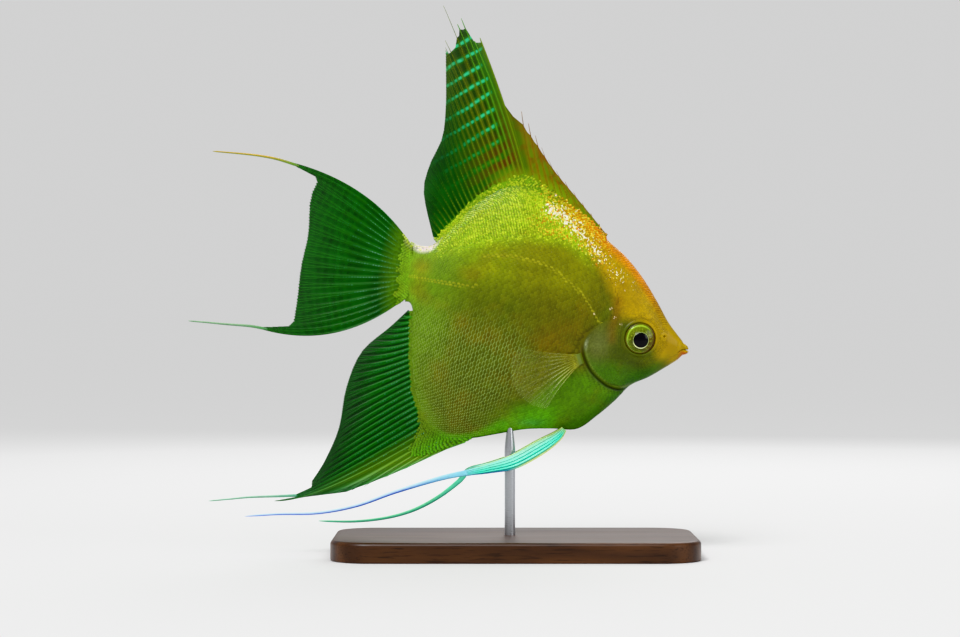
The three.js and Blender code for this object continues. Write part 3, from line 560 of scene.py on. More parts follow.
def beyond(centre, direction, ball):
    """How far a ray from centre goes before it leaves a lip's ellipsoid; 0 if it misses it."""
    (a, h), (long, high, wide), turn = ball
    c, s = math.cos(math.radians(turn)), math.sin(math.radians(turn))
    axes = np.array([[c, 0, s], [0, 1, 0], [-s, 0, c]]) / (np.array([[long], [wide], [high]]) * UNIT)
    d, m = direction @ axes.T, axes @ (np.array([-a, 0, h]) * UNIT - centre)
    dd, dm, mm = (d * d).sum(1), d @ m, m @ m
    inside = dm ** 2 - dd * (mm - 1)
    return np.where(inside > 0, (dm + np.sqrt(np.maximum(inside, 0))) / dd, 0)


def with_mouth(points):
    """The snout's points, pushed out to the lips and let in along the line of the mouth."""
    out = points - MOUTH_CENTRE
    reach = np.linalg.norm(out, axis=1)
    direction = out / reach[:, None]
    spot = points[:, [0, 2]] / (-UNIT, UNIT)
    lips = np.max([beyond(MOUTH_CENTRE, direction, ball) for ball in LIPS], 0)
    held_back = reach - 0.55 * MM * smooth(spot[:, 0], 3.2, 0.4)
    soft = 0.22 * MM  # over which the lips melt into the snout
    mixed = np.clip((lips - held_back) / soft * 0.5 + 0.5, 0, 1)
    fuller = held_back + (lips - held_back) * mixed + soft * mixed * (1 - mixed)
    near = smooth(spot[:, 0], 6.0, 4.0)
    (slit, along), (fold, on_fold) = (mm_from_line(spot, line) for line in (MOUTH_LINE, LIP_FOLD))
    let_in = 0.6 * bump(slit, 0.15) * smooth(along, 1.0, 0.8)
    let_in += 0.13 * bump(fold, 0.22) * smooth(on_fold, 0.0, 0.25) * smooth(on_fold, 1.0, 0.75)
    return MOUTH_CENTRE + direction * (lerp(reach, fuller, near) - MM * let_in * near)[:, None]


def cap(ring, bulge):
    """Rings that close an end of the body, from the last one to a point."""
    turn = (np.arange(1, CAP + 1) / CAP * np.pi / 2)[:, None, None]
    middle = ring.mean(0)
    return middle + (ring - middle) * np.cos(turn) + np.sin(turn) * (bulge, 0, 0)


def round_faces(rows, sides, capped=True):
    """Faces between rings of points. If capped, triangles that end in a first and a last point."""
    index = np.arange(rows * sides).reshape(rows, sides)
    nxt = np.roll(index, -1, axis=1)
    quads = np.stack([index[:-1], index[1:], nxt[1:], nxt[:-1]], -1).reshape(-1, 4)
    if not capped:
        return quads
    ends = [np.stack([np.full(sides, rows * sides + k), *pair], -1)
            for k, pair in enumerate([(index[0], nxt[0]), (nxt[-1], index[-1])])]
    return np.concatenate([quads[:, [0, 1, 2]], quads[:, [0, 2, 3]], *ends])


def body_paint(tree):
    return value(tree, "Group", "Color", {"Specks": noise(tree, 1500.0, 1.0, "Color")}, node_tree=colours)


def bumped(height, strength, distance, **settings):
    """The normal that a height makes."""
    return height.then("Bump", "Normal", {"Strength": strength, "Distance": distance, "Height": height},
                       **settings)


stations = graded_stations()
angles = np.arange(RING) / RING * 2 * np.pi
share, side = (1 + np.sin(angles)) / 2, np.where(np.cos(angles) < 0, -1, 1)
back, belly = BACK(stations)[:, None], BELLY(stations)[:, None]
inset = COAT / length_of(back - belly)
flat = belly + (back - belly) * (inset + (1 - 2 * inset) * share[:, None])
rings = np.stack([flat[..., 0], body_width(stations[:, None], share) * side, flat[..., 1]], -1)
rings = np.concatenate([cap(rings[0], BULGE)[::-1], rings, cap(rings[-1], -BULGE)])
points = rings.reshape(-1, 3)
t_of = np.repeat(np.concatenate([np.zeros(CAP), stations, np.ones(CAP)]), RING)
share_of, side_of = np.tile(share, len(rings)), np.tile(side, len(rings))
not_ends = np.abs(t_of - 0.5) < 0.4999
points[:, 1] += side_of * relief(points[:, [0, 2]]) * off_edges(share_of) * not_ends
snout_part = -points[:, 0] / UNIT < 7
points[snout_part] = with_mouth(points[snout_part])

skin_material, tree, surface = new_material("skin", Coat_Weight=0.17, Coat_Roughness=0.14,
                                            Specular_IOR_Level=0.25)
wrinkles = noise(tree, 420.0, 4.0)
feed(surface, Base_Color=body_paint(tree), Roughness=wrinkles.ranged(0, 1, 0.30, 0.48),
     Normal=bumped(noise(tree, 2600.0, 3.0) * 0.35 + wrinkles, 0.35, 0.12 * MM))
skin = new_object("skin", in_row(points), round_faces(len(rings), RING, capped=False), skin_material)
write(skin, markings(points[:, [0, 2]], t_of, share_of))
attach(skin, "root")
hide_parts("head", "lower_jaw", "gill_cover_right", "gill_cover_left", "torso", "tail_stem")

# ---- The scales -------------------------------------------------------------------------------
# Thin horny plates like roof tiles: each one's front is let into the skin, its rear edge is free
# and covers the fronts of those behind. Those of the flank are large; along the back and on the
# head they are tiny and run in rows beside the back's edge. The left side mirrors the right.
SCALE_PITCH = (1.9 * MM, 0.84 * MM)  # along a row, and between rows set half a pitch apart
SCALE_SIZE = (1.5, 1.22)  # length in pitches, half width in row spacings
FLANK_CENTRE = plane((58.0, -10.0))
FLANK_COLUMNS, FLANK_ROWS = 96, 180  # of the even layout, to each side of its centre
CROWDING = 49 * MM  # the smaller, the faster the scales shrink away from the flank's centre
SMALL_PITCH = (0.80 * MM, 0.37 * MM)
SMALL_ROWS = 124
SCALE_ROOT, SCALE_EDGE = -0.06 * MM, 0.155 * MM  # how far over the skin its front and rear are
SCALE_THICK = 0.05 * MM


def run_of(line):
    """How far along a line of points each of them is."""
    return np.concatenate([[0], np.cumsum(np.linalg.norm(np.diff(line, axis=0), axis=1))])


def station_of(p, rounds=22):
    """The station through places in the middle plane, by halving, with its back and its belly."""
    low, high = np.zeros(len(p)), np.ones(len(p))
    for _ in range(rounds):
        t = (low + high) / 2
        back, belly = BACK(t), BELLY(t)
        chord, out = back - belly, p - belly
        ahead = chord[:, 0] * out[:, 1] - chord[:, 1] * out[:, 0] > 0
        low, high = np.where(ahead, t, low), np.where(ahead, high, t)
    return low, BACK(low), BELLY(low)


# The skin laid out flat: places beside the middle of each station, along the curve of its section.
FLAT_T, FLAT_F, FLAT_REACH = 640, 460, 1.1  # the last: how far the table runs round each edge
flat_t, flat_f = np.linspace(0.002, 0.998, FLAT_T), np.linspace(-FLAT_REACH, FLAT_REACH, FLAT_F)
folded = np.where(np.abs(flat_f) > 1, np.sign(flat_f) * 2 - flat_f, flat_f)
fine_share = (1 - np.cos(np.linspace(0, np.pi, 400))) / 2
flat_back, flat_belly = BACK(flat_t), BELLY(flat_t)
chord = length_of(flat_back - flat_belly)
half_arc, share_at = np.zeros(FLAT_T), np.zeros((FLAT_T, FLAT_F))
for i, t in enumerate(flat_t):
    arc = run_of(np.stack([fine_share * chord[i], body_width(t, fine_share)], 1))
    half_arc[i] = arc[-1] / 2
    share_at[i] = np.interp((folded + 1) * half_arc[i], arc, fine_share)
inset = COAT / chord
held = (inset + (1 - 2 * inset) * share_at)[..., None]
flat_p = flat_belly[:, None] + (flat_back - flat_belly)[:, None] * held
raised = relief(flat_p.reshape(-1, 2)).reshape(FLAT_T, FLAT_F) * off_edges(share_at)
flat_y = (body_width(flat_t[:, None], share_at) + raised) * np.where(np.abs(flat_f) > 1, 1, -1)
SURFACE = np.stack([flat_p[..., 0], flat_y, flat_p[..., 1]], -1)
NORMAL = np.cross(np.gradient(SURFACE, axis=1), np.gradient(SURFACE, axis=0))
NORMAL /= length_of(NORMAL) + 1e-12
NORMAL *= -np.sign(NORMAL[FLAT_T // 2, FLAT_F // 2, 1])  # outwards: to the right on the right side


def flat_station(q):
    """Station share and signed arc share of places on the flattened skin."""
    t, back, belly = station_of(q, 18)
    up = (back - belly) / length_of(back - belly)
    return t, ((q - (back + belly) / 2) * up).sum(1) / np.interp(t, flat_t, half_arc)


def looked_up(table, t, f):
    """A table over the flattened skin, read between its points."""
    i = np.clip((t - flat_t[0]) / (flat_t[-1] - flat_t[0]) * (FLAT_T - 1), 0, FLAT_T - 1.001)
    j = np.clip((f / FLAT_REACH + 1) / 2 * (FLAT_F - 1), 0, FLAT_F - 1.001)
    i0, j0 = i.astype(int), j.astype(int)
    u, v = i - i0, j - j0
    if table.ndim == 3:
        u, v = u[:, None], v[:, None]
    near = table[i0, j0] * (1 - v) + table[i0, j0 + 1] * v
    far = table[i0 + 1, j0] * (1 - v) + table[i0 + 1, j0 + 1] * v
    return near * (1 - u) + far * u


def crowded(q):
    """From an even layout to places on the flattened skin, and how far the scales shrink there."""
    squeeze = 1 / np.sqrt(1 + (length_of(q) / CROWDING) ** 2)
    return FLANK_CENTRE + q * squeeze, squeeze[:, 0]


def scale_plate(corners, rings):
    """One plate's points (along 0 to 1, across -1 to 1, how high -1 to 1, rim 0 to 1) and faces."""
    turn = np.arange(corners) / corners * 2 * np.pi
    along = 0.5 + 0.5 * np.sign(np.cos(turn)) * np.abs(np.cos(turn)) ** 0.5
    across = np.sign(np.sin(turn)) * np.abs(np.sin(turn)) ** 0.75 * (0.86 + 0.14 * np.cos(turn + 0.6))
    points = [(0.5, 0.0, 1.0, 0.0)]
    for size, high, rim in rings:
        points += [(0.5 + (a - 0.5) * size, c * size, high, rim) for a, c in zip(along, across)]
    points.append((0.5, 0.0, -1.0, 1.0))
    last = 1 + (len(rings) - 1) * corners
    faces = []
    for k in range(corners):
        nxt = (k + 1) % corners
        faces.append((0, 1 + k, 1 + nxt))
        for low in range(1, last, corners):
            a, b = low + k, low + nxt
            faces += [(a, a + corners, b + corners), (a, b + corners, b)]
        faces.append((last + k, last + corners, last + nxt))
    return np.array(points), np.array(faces)


FLANK_PLATE = scale_plate(10, ((0.6, 1.0, 0.4), (0.9, 1.0, 0.85), (1.0, 0.35, 1.0), (0.84, -1.0, 1.0)))
SMALL_PLATE = scale_plate(8, ((0.78, 1.0, 0.6), (1.0, 0.3, 1.0), (0.8, -1.0, 1.0)))
random = np.random.default_rng(7)
grid = np.array([
    ((i + (j % 2) / 2) * SCALE_PITCH[0], j * SCALE_PITCH[1])
    for i in range(-FLANK_COLUMNS, FLANK_COLUMNS) for j in range(-FLANK_ROWS, FLANK_ROWS)
])
grid += random.normal(0, 1, grid.shape) * (0.035 * SCALE_PITCH[0], 0.03 * SCALE_PITCH[1])
flank_q, flank_size = crowded(grid)

small_q, small_lie = [], []
row_t = np.linspace(0.03, 0.993, 900)
row_back, row_belly = BACK(row_t), BELLY(row_t)
row_up = (row_back - row_belly) / length_of(row_back - row_belly)
row_half = np.interp(row_t, flat_t, half_arc)
for k in range(SMALL_ROWS):
    depth = (k + 0.5) * SMALL_PITCH[1]
    held = depth < 1.93 * row_half
    line = ((row_back + row_belly) / 2 + row_up * (row_half - depth)[:, None])[held]
    reach = run_of(line)
    wanted = np.arange(0.5 * (k % 2), reach[-1] / SMALL_PITCH[0]) * SMALL_PITCH[0]
    wanted += random.normal(0, 0.05 * SMALL_PITCH[0], len(wanted))
    places, after = (np.stack([np.interp(wanted + ahead, reach, line[:, n]) for n in (0, 1)], 1)
                     for ahead in (0, 0.2 * MM))
    small_q.append(places)
    small_lie.append(np.arctan2(*(places - after).T[::-1]))
small_q, small_lie = np.concatenate(small_q), np.concatenate(small_lie)


def body_facts(q):
    """Where scale middles on the flattened skin are, and how far from the marks of the face."""
    t, f = flat_station(q)
    spot = looked_up(SURFACE, t, f)[:, [0, 2]] / (-UNIT, UNIT)
    cover, along = from_line(spot, GILL_EDGE)
    sheath = from_sheath(spot)
    return {
        "t": t, "f": f, "spot": spot, "cover": cover, "on_cover": along,
        "on_body": (t > 0.01) & (t < 0.986) & (np.abs(f) < 1.0),
        "small": (sheath > 0) | (cover < 0),  # of the back's sheath or the head
        "eye": mm_between(spot, EYE_AT), "nostril": mm_between(spot, NOSTRIL_AT),
        "pectoral": mm_between(spot, PECTORAL_AT + (0.5, 0)),
        "snout": spot[:, 0] - 0.32 * np.abs(spot[:, 1]),
    }


def only(facts, kept):
    return {name: values[kept] for name, values in facts.items()}


scale_paint, tree, surface = new_material("scale", Coat_Weight=0.17, Coat_Roughness=0.12,
                                          Specular_IOR_Level=0.25, Roughness=0.38)
reach, dashes, flatness = (strength(tree, name) for name in ("reach", "dashes", "flatness"))
# Painted shade: each scale is darker towards its front, where the scale before it lies over it. plain keeps
# this painted shade lighter away from the dashes marking and on flat scales.
plain = dashes.math("MULTIPLY_ADD", -0.24, 0.66).math("MAXIMUM", flatness * 0.85)
painted_overlap_shade = reach.ranged(0.30, 0.66, 0.42, 1.0).math("MAXIMUM", plain)
standing = value(tree, "Math", 0, {0: 1.0, 1: flatness}, operation="SUBTRACT", use_clamp=True)
# Painted highlight: a pale band along each standing scale's free rear edge, paler still where the dashes
# marking is.
edge = strength(tree, "rim").ranged(0.66, 0.95) * reach.ranged(0.72, 0.90) * standing
colour = body_paint(tree).shaded(painted_overlap_shade * strength(tree, "tone").ranged(0, 1, 0.84, 1.16))
fine_rays, growth_rings = (strength(tree, "across") * 34.0).math("SINE"), (reach * 52.0).math("SINE")
feed(surface, Base_Color=colour.under((edge * 0.30, "#7e8e1e"), (edge * dashes * 0.72, "#9cb868")),
     Normal=bumped(fine_rays + growth_rings, 0.22, 0.03 * MM))


def scale_pieces(name, shape, members, points, marks, u, v, middle=0.0):
    """One piece of scales and its mirror image, each scale a small patch of the OFBake map."""
    plate, plate_faces = shape
    each = len(plate)
    patch = 0.0015
    chosen = (members[:, None] * each + np.arange(each)).ravel()
    place_u = np.repeat(u[members], each) + np.tile(plate[:, 0] - 0.5, len(members)) * patch * 2
    place_v = np.repeat(v[members], each) + np.tile(plate[:, 1], len(members)) * patch
    faces = (np.arange(len(members))[:, None, None] * each + plate_faces).reshape(-1, 3)
    for side, word in ((-1, "right"), (1, "left")):
        turned = faces[:, ::-1] if side < 0 else faces
        placed = points[chosen] * (1, -side, 1)
        placed[:, 1] += np.broadcast_to(middle, len(points))[chosen]
        scales = new_object(name.format(word), in_row(placed), turned, scale_paint)
        write(scales, {mark: values[chosen] for mark, values in marks.items()})
        layer = scales.data.uv_layers.new(name="OFBake")
        halves = place_u + (0.5 if side > 0 else 0)
        layer.data.foreach_set("uv", np.stack([halves, place_v], 1)[turned.ravel()].ravel())
        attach(scales, "root")


def plate_marks(plate, count, flatness):
    """What the scales' paint needs: where on its plate each point is, and two measures of the plate."""
    along, across, _, rim = plate.T
    marks = {name: np.tile(values, count) for name, values in
             (("reach", along), ("across", across), ("rim", rim))}
    marks["tone"] = np.repeat(random.random(count), len(plate))
    marks["flatness"] = np.repeat(np.broadcast_to(flatness, count), len(plate))
    return marks


def lay_scales(name, shape, q, lie, length, width, lift, even_place, facts, flatness):
    """Lays a plate on every place and makes the right side's pieces and their mirror images."""
    along, across, high, _ = shape[0].T
    count, each = len(q), len(along)
    x, y = turned(-(along - 0.35) * length[:, None], across * width[:, None], lie[:, None])
    layout = np.stack([x, y], -1) + q[:, None]
    t, f = flat_station(even_place(layout.reshape(-1, 2)))
    cup = 0.035 * MM * (1 - across ** 2)
    height = (SCALE_ROOT + (SCALE_EDGE - SCALE_ROOT) * along + cup) * lift[:, None]
    height = height + high * SCALE_THICK / 2 * (0.4 + 0.6 * lift[:, None])
    points = looked_up(SURFACE, t, f) + looked_up(NORMAL, t, f) * height.reshape(-1, 1)
    marks = markings(points[:, [0, 2]], np.clip(t, 0, 1), looked_up(share_at, t, f))
    at_t, at_f = facts["t"], facts["f"]
    whole = markings(facts["spot"] * (-UNIT, UNIT), at_t, looked_up(share_at, at_t, at_f))
    for mark in ("lateral", "sparkle", "glitter", "speckle", "sheath_rows"):
        marks[mark] = np.repeat(whole[mark], each)
    marks["lateral"] *= np.tile(smooth(np.abs(across), 0.5, 0.0), count)
    marks["sparkle"] *= np.tile(smooth(np.abs(across), 0.45, 0.0) * (along > 0.6), count)
    marks.update(plate_marks(shape[0], count, flatness))
    halves = np.array_split(np.argsort(at_t, kind="stable"), 2)
    for part, members in enumerate(halves):
        scale_pieces(f"{name}_{{}}_{part + 1}", shape, members, points, marks, 0.02 + 0.46 * at_t,
                     0.5 + 0.45 * at_f)


flank = body_facts(flank_q)
kept = flank["on_body"] & ~flank["small"] & (flank["pectoral"] > 2.0)
kept &= (flank["cover"] > 1.35) | (flank["on_cover"] < 0.27)
flank, count = only(flank, kept), kept.sum()
converging = np.radians(16) * np.clip(flank["spot"][:, 1] / 42, -1, 1) * smooth(flank["spot"][:, 0], 30, 75)
near_gill = np.maximum(smooth(flank["cover"], 1.3, 3.0), smooth(flank["on_cover"], 0.32, 0.22))
breast_part = smooth(from_line(flank["spot"], BREAST_EDGE)[0], 3, -3) * smooth(flank["spot"][:, 0], 66, 48)
lay_scales(
    "scales", FLANK_PLATE, grid[kept], converging + np.radians(3) * random.normal(size=count),
    SCALE_PITCH[0] * SCALE_SIZE[0] * (1 + 0.05 * random.normal(size=count)) * lerp(0.7, 1, near_gill),
    SCALE_PITCH[1] * SCALE_SIZE[1] * (1 + 0.04 * random.normal(size=count)) * lerp(0.7, 1, near_gill),
    (0.9 + 0.2 * random.random(count)) * lerp(0.5, 1, flank_size[kept]) * lerp(0.5, 1, near_gill)
    * lerp(1, 0.22, breast_part),
    lambda layout: crowded(layout)[0], flank, 0.85 * breast_part)

small = body_facts(small_q)
kept = small["on_body"] & small["small"] & (small["eye"] > 5.5) & (small["nostril"] > 1.2)
kept &= ((np.abs(small["cover"]) > 0.75) | (small["on_cover"] < 0.27)) & (small["snout"] > 7.5)
small, count = only(small, kept), kept.sum()
fade = smooth(small["eye"], 5.4, 7.0) * smooth(small["snout"], 7.5, 16.0)
face = smooth(small["spot"][:, 0], 40, 30) * np.where(small["cover"] < 0, 1.0, 0.6)
lay_scales(
    "small_scales", SMALL_PLATE, small_q[kept], small_lie[kept] + np.radians(5) * random.normal(size=count),
    SMALL_PITCH[0] * 1.5 * (1 + 0.06 * random.normal(size=count)) * lerp(0.42, 1, fade),
    SMALL_PITCH[1] * 1.22 * (1 + 0.05 * random.normal(size=count)) * lerp(0.42, 1, fade),
    (0.45 + 0.15 * random.random(count)) * lerp(0.04, 1, fade) * lerp(1, 0.7, face),
    lambda layout: layout, small, np.clip(lerp(0.35, 0.8, face), 0, 1))

# ---- The eyes ---------------------------------------------------------------------------------
# A wet disc set a little below the skin: a black lens that stands out through the pupil, a pale
# gold rim round it, an olive iris with fine fibres, and a bright ring before the dark outer one,
# its upper rear lit by a painted highlight.
EYE_RINGS, EYE_SIDES = 60, 96
EYE_SUNK, EYE_FORWARD = 0.35 * MM, math.radians(7)
EYE, PUPIL = 4.5, 2.26  # radii in millimetres
PUPIL_SHIFT = (0.20, -0.46)  # the pupil sits forward of the ring's middle and below it


def share_of_way(p):
    """(t, share of the way from belly to back) of places in the middle plane."""
    t, back, belly = station_of(p)
    chord = back - belly
    return t, ((p - belly) * chord).sum(1) / (chord ** 2).sum(1)


def eye_height(r, turn):
    """How far the eye stands out at a radius, in millimetres."""
    dome = 1.22 * (1 - (r / EYE) ** 2.4)
    lens = 0.20 * np.sqrt(np.clip(1 - (r / PUPIL) ** 2, 0, 1)) - 0.02
    rim = 0.07 * bump(r - PUPIL - 0.16, 0.12) - 0.05 * bump(r - PUPIL, 0.05)
    fibres = 0.012 * np.sin(turn * 46 + 3 * np.sin(turn * 5)) * smooth(r, 2.4, 2.8) * smooth(r, 3.7, 3.3)
    ring = 0.07 * bump(r - 3.86, 0.16) - 0.07 * bump(r - 4.16, 0.10)
    return dome + lens * (r < PUPIL) + rim + fibres + ring


eye_paint, tree, surface = new_material("eye", Coat_Weight=0.9, Coat_Roughness=0.03, Coat_IOR=1.34,
                                        Roughness=0.3, Specular_IOR_Level=0.15)
radius, up, fore = (strength(tree, name) for name in ("radius", "up", "fore"))
fibre, cloud = noise(tree, 1500.0, 4.0), noise(tree, 420.0, 3.0)


def band_of(low, high, soft=0.06):
    return radius.ranged(low - soft, low + soft) * radius.ranged(high + soft, high - soft)


feed(surface, Normal=bumped(fibre, 0.2, 0.04 * MM), Base_Color=radius.ranged(2.6, 3.7).between(
    "#44480a", "#5e7010").under(
    (up.ranged(0.1, 0.9) * 0.6, "#66760c"),
    (fore.ranged(0.35, 0.95) * 0.8, "#5a420c"),
    (fibre.ranged(0.52, 0.68) * 0.5, "#a4b83c"),
    (cloud.ranged(0.5, 0.7) * 0.4, "#2e3c06"),
    # painted highlight: the ring is bright green only towards its upper rear, where the light falls
    (band_of(3.7, 4.0) * (up - fore).ranged(0.0, 0.9) * 0.7, "#a6cc40"),
    (band_of(4.02, 4.14, 0.04) * up.ranged(0.0, -0.7), "#b4c878"),
    (band_of(4.18, 4.6) * 0.9, "#5a5206"),
    (band_of(4.0, 4.6) * fore.ranged(0.3, 0.9), "#4a2c08"),
    (band_of(PUPIL, PUPIL + 0.11, 0.03), "#b0c47c"),
    (band_of(PUPIL, PUPIL + 0.24, 0.04) * up.ranged(-0.3, -0.9), "#e8f0b4"),
    (radius.ranged(PUPIL + 0.01, PUPIL - 0.03), "#050408")))

ring_radius = np.concatenate([np.linspace(0, EYE, EYE_RINGS)[1:], [4.52, 4.5, 4.3]])
r, around = np.meshgrid(ring_radius, np.arange(EYE_SIDES) / EYE_SIDES * 2 * np.pi, indexing="ij")
deep = eye_height(r, around)
deep[-3:] = np.array([-0.12, -0.5, -1.6])[:, None]
shift = (1 - smooth(r, 2.9, 4.3))[..., None] * PUPIL_SHIFT
flat = r[..., None] * np.stack([np.cos(around), np.sin(around)], -1) + shift
disc = np.vstack([np.dstack([flat, deep]).reshape(-1, 3), [(*PUPIL_SHIFT, eye_height(0.0, 0.0))]]) * MM
eye_out = body_width(*share_of_way(plane([EYE_AT])))[0] + COAT - EYE_SUNK
for side, word in ((-1, "right"), (1, "left")):
    fore, deep = turned(disc[:, 0], disc[:, 2], -EYE_FORWARD)
    points = np.stack([fore, side * (eye_out + deep), disc[:, 1]], 1) + np.insert(plane(EYE_AT), 1, 0)
    points = np.vstack([points, points[-1 - EYE_SIDES:-1].mean(0)])
    faces = round_faces(len(ring_radius), EYE_SIDES)
    if side > 0:
        faces = faces[:, ::-1]
    eye = new_object(f"eyeball_{word}", in_row(points), faces, eye_paint)
    write(eye, {
        "radius": np.concatenate([r.ravel(), [0, EYE]]),
        "up": np.concatenate([np.sin(around).ravel(), [0, 0]]),
        "fore": np.concatenate([np.cos(around).ravel(), [0, 0]]),
    })
    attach(eye, "root")
    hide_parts(f"eye_{word}")

# ---- The fins of the middle plane -------------------------------------------------------------
# The dorsal, anal and tail fins are clear webs stiffened by bony rays. The foremost rays of the
# dorsal and anal fins are plain spines whose tips stand free; the soft rays fork twice on their
# way to the edge. The roots sink into the muscle of the body's edge.
WEB, RAY_HALF = 0.10 * MM, 0.30 * MM  # half the thickness of the web and of a ray
FORK_ONE, FORK_TWO = 0.34, 0.66  # where the soft rays fork, as shares of their length
BUNDLE = 0.10 * MM  # between the middles of a ray's two halves before it forks
ROOT_DEPTH, SUNK_ROWS = 2.4 * MM, 3
ROOT_HALF, ROOT_SWELLING = 0.5 * MM, 3.2 * MM  # a fin's half thickness at its root, and how soon it thins


def even(line, shares):
    """Places at even shares of the length of a line given as a function."""
    dense = line(np.linspace(0, 1, 1500))
    reach = run_of(dense)
    want = np.asarray(shares) * reach[-1]
    return np.stack([np.interp(want, reach, dense[:, k]) for k in range(dense.shape[1])], -1)


def tips_along(points, count):
    return even(spline(plane(points)), np.linspace(0, 1, count))


def fin_base(edge, start, end):
    """The part of an outline that a fin stands on, as a function of the share of its length."""
    return lambda shares: even(lambda s: edge(lerp(start, end, s)), shares)


def rays_of(base, tips, angles, bends):
    """Base, middle control and tip of every ray: three arrays."""
    shares = np.linspace(0, 1, len(tips))
    root, angle = base(shares), np.radians(angles(shares))
    reach = length_of(tips - root) * bends(shares)[:, None]
    return root, root + np.stack([-np.cos(angle), np.sin(angle)], 1) * reach, np.asarray(tips)


def on_ray(root, control, tip, v):
    """Places at shares v of the way along rays."""
    return (1 - v) ** 2 * root + 2 * v * (1 - v) * control + v ** 2 * tip


def fin_grid(rays, single=0, free=(), stout=(), flush=(), notch=(), rows=64):
    """The fin's columns: four threads of every gap's rays with their flanks, and the web between.

    The first rays, as many as single says, don't fork. free gives the share of a ray's end that
    stands clear of the web and stout its thickness, both by the ray's number; notch gives, by the
    gap's number, how much of its second ray stands clear on that side. Gives arrays
    (columns, rows): the share across the gap, how far the ray stands out (0 to 1), the share along
    the ray, and for every column its gap's number.
    """
    gaps = len(rays[0]) - 1
    v = np.linspace(0, 1, rows)
    places = [on_ray(*(x[k] for x in rays), v[:, None]) for k in range(gaps + 1)]
    clear, thickness, cut = dict(free), dict(stout), dict(notch)
    columns = []
    for g in range(gaps):
        wide = np.linalg.norm(places[g + 1] - places[g], axis=1)
        halves = []
        for r in (g, g + 1):
            one, two = (smooth(v, start, 1.25) / smooth(1.0, start, 1.25) * (r >= single)
                        for start in (FORK_ONE, FORK_TWO))
            thick = np.minimum(thickness.get(r, 1.0) * (1 - 0.35 * v), wide / (4.6 * BUNDLE))
            pair = BUNDLE * thick + 0.25 * wide * one
            split = BUNDLE * thick / 2 + 0.125 * wide * two
            flank = np.minimum(split * 0.8, (0.030 + 0.03 * two) * MM * thick)
            inner, outer = pair - split, pair + split
            half = [
                (0 * v, bump(inner, 0.06 * MM)), (inner - flank, 0.62), (inner, 1.0), (inner + flank, 0.62),
                (pair, bump(outer - inner, 0.13 * MM)), (outer - flank, 0.62), (outer, 1.0),
                (outer + flank, 0.5),
            ]
            half = [(at / wide, stand + 0 * v) for at, stand in half]
            if g in clear or g + 1 in clear:
                half.append((np.minimum(half[-1][0] + 0.12 * MM / wide, 0.5), 0 * v))
            halves.append(half)
        left, right = halves
        for f, stand in left + [(0.5 + 0 * v, 0 * v)] + [(1 - at, s) for at, s in right[:0:-1]]:
            f = np.clip(f, 0, 1)
            second = cut.get(g, clear.get(g + 1, 0.0))
            open_share = lerp(clear.get(g, 0.0), second, f[-1]) * (1 + 0.8 * f[-1] * (1 - f[-1]))
            short = 0.0 if g in flush else (open_share + 0.012) * smooth(stand[-1], 0.6, 0.3)
            columns.append((f, stand, v * (1 - short), g))
    columns.append((0 * v, left[0][1], v, gaps))
    return [np.array(x) for x in zip(*columns)]


def fin_places(rays, across, shares, gap_of):
    """Places in the fin's plane, the rays' headings, and how far along the ray in metres they are."""
    one, two = (np.minimum(gap_of + k, len(rays[0]) - 1) for k in (0, 1))
    parts = [lerp(k[one][:, None], k[two][:, None], across[..., None]) for k in rays]
    flat = on_ray(*parts, shares[..., None])
    steps = np.linalg.norm(np.diff(flat, axis=1), axis=2)
    return flat, parts[1] - parts[0], np.pad(np.cumsum(steps, axis=1), ((0, 0), (1, 0)))


def two_sides(flat, middle, half):
    """The right and the left side of a sheet that is drawn flat, with its half thickness."""
    return [np.stack([flat[..., 0], middle + out, flat[..., 1]], -1) for out in (-half, half)]


def closed_sheet(right, left):
    """Points and four-cornered faces of a closed sheet from the grids of its two sides."""
    columns, rows = right.shape[:2]
    shift = columns * rows
    index = np.arange(shift).reshape(columns, rows)
    corners = np.stack([index[:-1, :-1], index[1:, :-1], index[1:, 1:], index[:-1, 1:]], -1).reshape(-1, 4)
    border = np.concatenate([index[:, 0], index[-1, 1:], index[-2::-1, -1], index[0, -2:0:-1]])
    after = np.roll(border, -1)
    faces = [corners, corners[:, [0, 3, 2, 1]] + shift,
             np.stack([after, border, border + shift, after + shift], -1)]
    return np.concatenate([right.reshape(-1, 3), left.reshape(-1, 3)]), np.concatenate(faces)


def on_both(shape, **measures):
    """Measures of a grid's points, repeated for the sheet's two sides."""
    return {name: np.tile(np.broadcast_to(x, shape).ravel(), 2) for name, x in measures.items()}


def make_fin(name, rays, sway, root_half, material, **details):
    """A fin of the middle plane as one closed sheet, its rays raised in both faces."""
    across, ridge, shares, gap_of = fin_grid(rays, **details)
    flat, heading, reach = fin_places(rays, across, shares, gap_of)
    depth = np.linspace(1, 0, SUNK_ROWS, endpoint=False)[None, :, None] * ROOT_DEPTH
    sunk = flat[:, :1] - (heading / length_of(heading))[:, :1] * depth
    flat = np.concatenate([sunk, flat], 1)
    across, ridge, shares, reach = (
        np.pad(x, ((0, 0), (SUNK_ROWS, 0)), "edge") for x in (across, ridge, shares, reach))
    ray = RAY_HALF * (1.25 if details.get("single") else 1.0) * (1 - 0.55 * shares)
    swollen = root_half * np.exp(-reach / ROOT_SWELLING) * (0.86 + 0.14 * ridge)
    half = np.maximum(lerp(WEB, ray, ridge), swollen)
    points, faces = closed_sheet(*two_sides(flat, sway(flat, shares), half))
    made = new_object(name, in_row(points), faces, material)
    write(made, on_both(ridge.shape, ray=ridge, along=shares, reach=reach / MM,
                        order=gap_of[:, None] + across, between=across))
    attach(made, "root")
    return made


